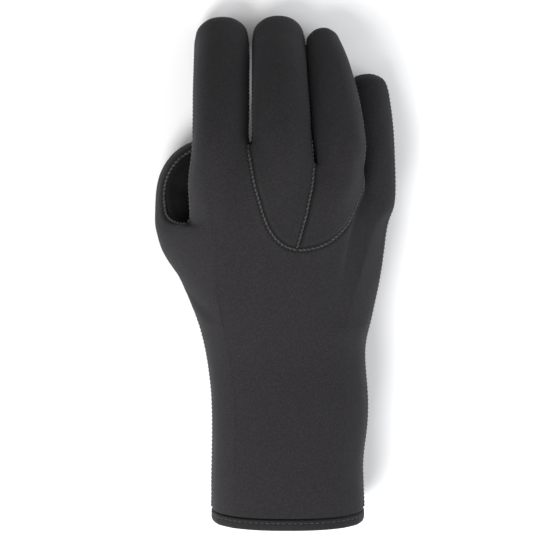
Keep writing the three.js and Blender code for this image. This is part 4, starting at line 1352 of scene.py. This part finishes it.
line, out, even = cuffLine(hem["around"])
profile = np.array(hem["profile"])
rimLength = even[-1] + even[1]
pucker = hem["pucker"] * np.sin(2 * np.pi * even / hem["stitchPitch"])[None] * np.exp(
    -((profile[:, :1] - hem["stitchFrom"]) / hem["puckerWidth"]) ** 2)
grid = hemPlaces(line[None], out[None], profile[:, :1], profile[:, 1:] + pucker)
rowsIds = np.arange(grid.shape[0] * grid.shape[1]).reshape(grid.shape[:2])
after = np.roll(rowsIds, -1, axis=1)
hemQuads = np.stack([rowsIds[:-1], rowsIds[1:], after[1:], after[:-1]], axis=2).reshape(-1, 4)
uvGrid = np.stack(np.broadcast_arrays(even[None], alongLine(profile)[:, None]), axis=2)
uvAfter = np.concatenate([uvGrid[:, 1:], uvGrid[:, :1] + [rimLength, 0]], axis=1)
hemUv = np.stack([uvGrid[:-1], uvGrid[1:], uvAfter[1:], uvAfter[:-1]], axis=2).reshape(-1, 4, 2)
hemBand = newPiece(
    "hemBand", grid.reshape(-1, 3), [hemQuads], [hemUv], neopreneHem)
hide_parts("cuff_hem")


# stitches: short rounded bars, a profile of rings along a shallow arch, all in one mesh.
# A bar's radius is r sqrt(1 - |t|^3), and its middle line rises by 1 - t^2, with t from -1 to 1
def stitchBars(centres, alongDirs, upDirs, long, radius, rings=5, sides=6):
    share = np.linspace(-1, 1, rings)
    arch = 1 - share ** 2
    size = radius * np.sqrt(np.clip(1 - np.abs(share) ** 3, 0.05, 1))
    turn = np.linspace(0, 2 * np.pi, sides, endpoint=False)
    sideDirs = np.cross(alongDirs, upDirs)
    spine = (centres[:, None] + alongDirs[:, None] * (share * long / 2)[None, :, None]
             + upDirs[:, None] * (arch * radius * 0.9 - radius * 0.55)[None, :, None])
    ring = (spine[:, :, None]
            + sideDirs[:, None, None] * (np.cos(turn)[None, None] * size[None, :, None])[..., None]
            + upDirs[:, None, None] * (np.sin(turn)[None, None] * size[None, :, None])[..., None])
    count = len(centres)
    ids = np.arange(count * rings * sides).reshape(count, rings, sides)
    after = np.roll(ids, -1, axis=2)
    quad = np.stack([ids[:, :-1], after[:, :-1], after[:, 1:], ids[:, 1:]], axis=3).reshape(-1, 4)
    caps = np.concatenate([ids[:, 0, ::-1], ids[:, -1]])
    return ring.reshape(-1, 3), quad, caps


spots, spotOut, _ = cuffLine(round(rimLength / hem["stitchPitch"]))
spots = hemPlaces(spots, spotOut, hem["stitchFrom"], np.full(len(spots), hem["stitchProud"]))
clear = spots[:, 2] > hem["clearOfFloor"]
spots, spotOut = spots[clear], spotOut[clear]
alongRim = np.stack([-spotOut[:, 2], 0 * spotOut[:, 0], spotOut[:, 0]], axis=1)
barPoints, barQuads, barCaps = stitchBars(
    spots, alongRim, spotOut, hem["stitchLong"], hem["stitchRadius"])
newPiece("hemStitches", barPoints, [barQuads, barCaps], None, threadMaterial("hemThread"),
         {"ply": np.full(len(barPoints), hem["stitchPly"])})
print("hem made")

# the lining: the skin moved inwards by nearly the wall; the hem's inner edge laps over it
lining = {"inset": 2.85, "levels": 2}
inside, insideQuads, insideUv, _, _ = divided(points, lining["levels"], True)
insideNormals = pointNormals(inside, [insideQuads])
inside = inside - insideNormals * lining["inset"]
used, insideQuads = np.unique(insideQuads, return_inverse=True)
inside, insideQuads = inside[used], insideQuads.reshape(-1, 4)
newPiece("lining", inside, [insideQuads[:, ::-1]], [insideUv[:, ::-1]], neopreneLining)
print("lining made")

# floor, light and camera, in metres
studio = {
    "tilt": 8.0,           # the camera leans this far towards the fingertips
    "away": 1.0,
    "aim": (0.00031, -0.00078, 0.030),
    "mmPerPixel": 0.54,
    "pixels": 550,
    "sensorMm": 36,
    "floor": (0.93, 0.93, 0.93),
    "floorHalf": 4,
    "floorRoughness": 0.9,
    "world": 0.50,
}
# each light's place, aim, size, power and colour
lights = {
    "keyLight": [(-0.45, -0.70, 0.90), (0, 0, 0.02), 0.6, 15, (1, 1, 1)],
    "fillLight": [(0.95, -0.10, 0.70), (0, 0, 0.02), 0.8, 5.5, (0.93, 0.95, 1.0)],
    "leftEdgeLight": [(-0.75, -0.30, 0.20), (0, 0, 0.02), 0.25, 2.2, (1, 1, 1)],
    "rightEdgeLight": [(0.55, 0.20, 0.26), (0.04, 0.06, 0.01), 0.25, 1.0, (1, 1, 1)],
}
half = studio["floorHalf"]
floorMesh = bpy.data.meshes.new("floor")
floorMesh.from_pydata([(-half, -half, 0), (half, -half, 0), (half, half, 0), (-half, half, 0)],
                      [], [(0, 1, 2, 3)])
floor = bpy.data.objects.new("floor", floorMesh)
bpy.context.scene.collection.objects.link(floor)
floorMaterial = bpy.data.materials.new("paleFloor")
floorMaterial.use_nodes = True
floorShader = floorMaterial.node_tree.nodes["Principled BSDF"]
floorShader.inputs["Base Color"].default_value = (*studio["floor"], 1)
floorShader.inputs["Roughness"].default_value = studio["floorRoughness"]
floorMesh.materials.append(floorMaterial)

world = bpy.data.worlds.new("studio")
world.use_nodes = True
background = world.node_tree.nodes["Background"]
background.inputs["Color"].default_value = (1.0, 1.0, 1.0, 1)
background.inputs["Strength"].default_value = studio["world"]
bpy.context.scene.world = world


def areaLight(name, place, aim, size, power, colour):
    data = bpy.data.lights.new(name, "AREA")
    data.shape = "SQUARE"
    data.size = size
    data.energy = power
    data.color = colour
    light = bpy.data.objects.new(name, data)
    bpy.context.scene.collection.objects.link(light)
    heading = mathutils.Vector(aim) - mathutils.Vector(place)
    light.location = place
    light.rotation_euler = heading.to_track_quat("-Z", "Y").to_euler()


for name, values in lights.items():
    areaLight(name, *values)

camera = bpy.data.objects.new("camera", bpy.data.cameras.new("camera"))
bpy.context.scene.collection.objects.link(camera)
tilt = math.radians(studio["tilt"])
back = mathutils.Vector((0, math.sin(tilt), math.cos(tilt)))
aim = mathutils.Vector(studio["aim"])
camera.location = aim + back * studio["away"]
right = mathutils.Vector((0, 1, 0)).cross(back).normalized()
up = back.cross(right)
camera.rotation_euler = mathutils.Matrix((right, up, back)).transposed().to_euler()
camera.data.sensor_width = studio["sensorMm"]
mmAcross = studio["mmPerPixel"] * studio["pixels"]
camera.data.lens = studio["sensorMm"] * studio["away"] * 1000 / mmAcross
camera.data.clip_start = studio["away"] / 100
bpy.context.scene.camera = camera
bpy.context.scene.view_settings.view_transform = "Standard"
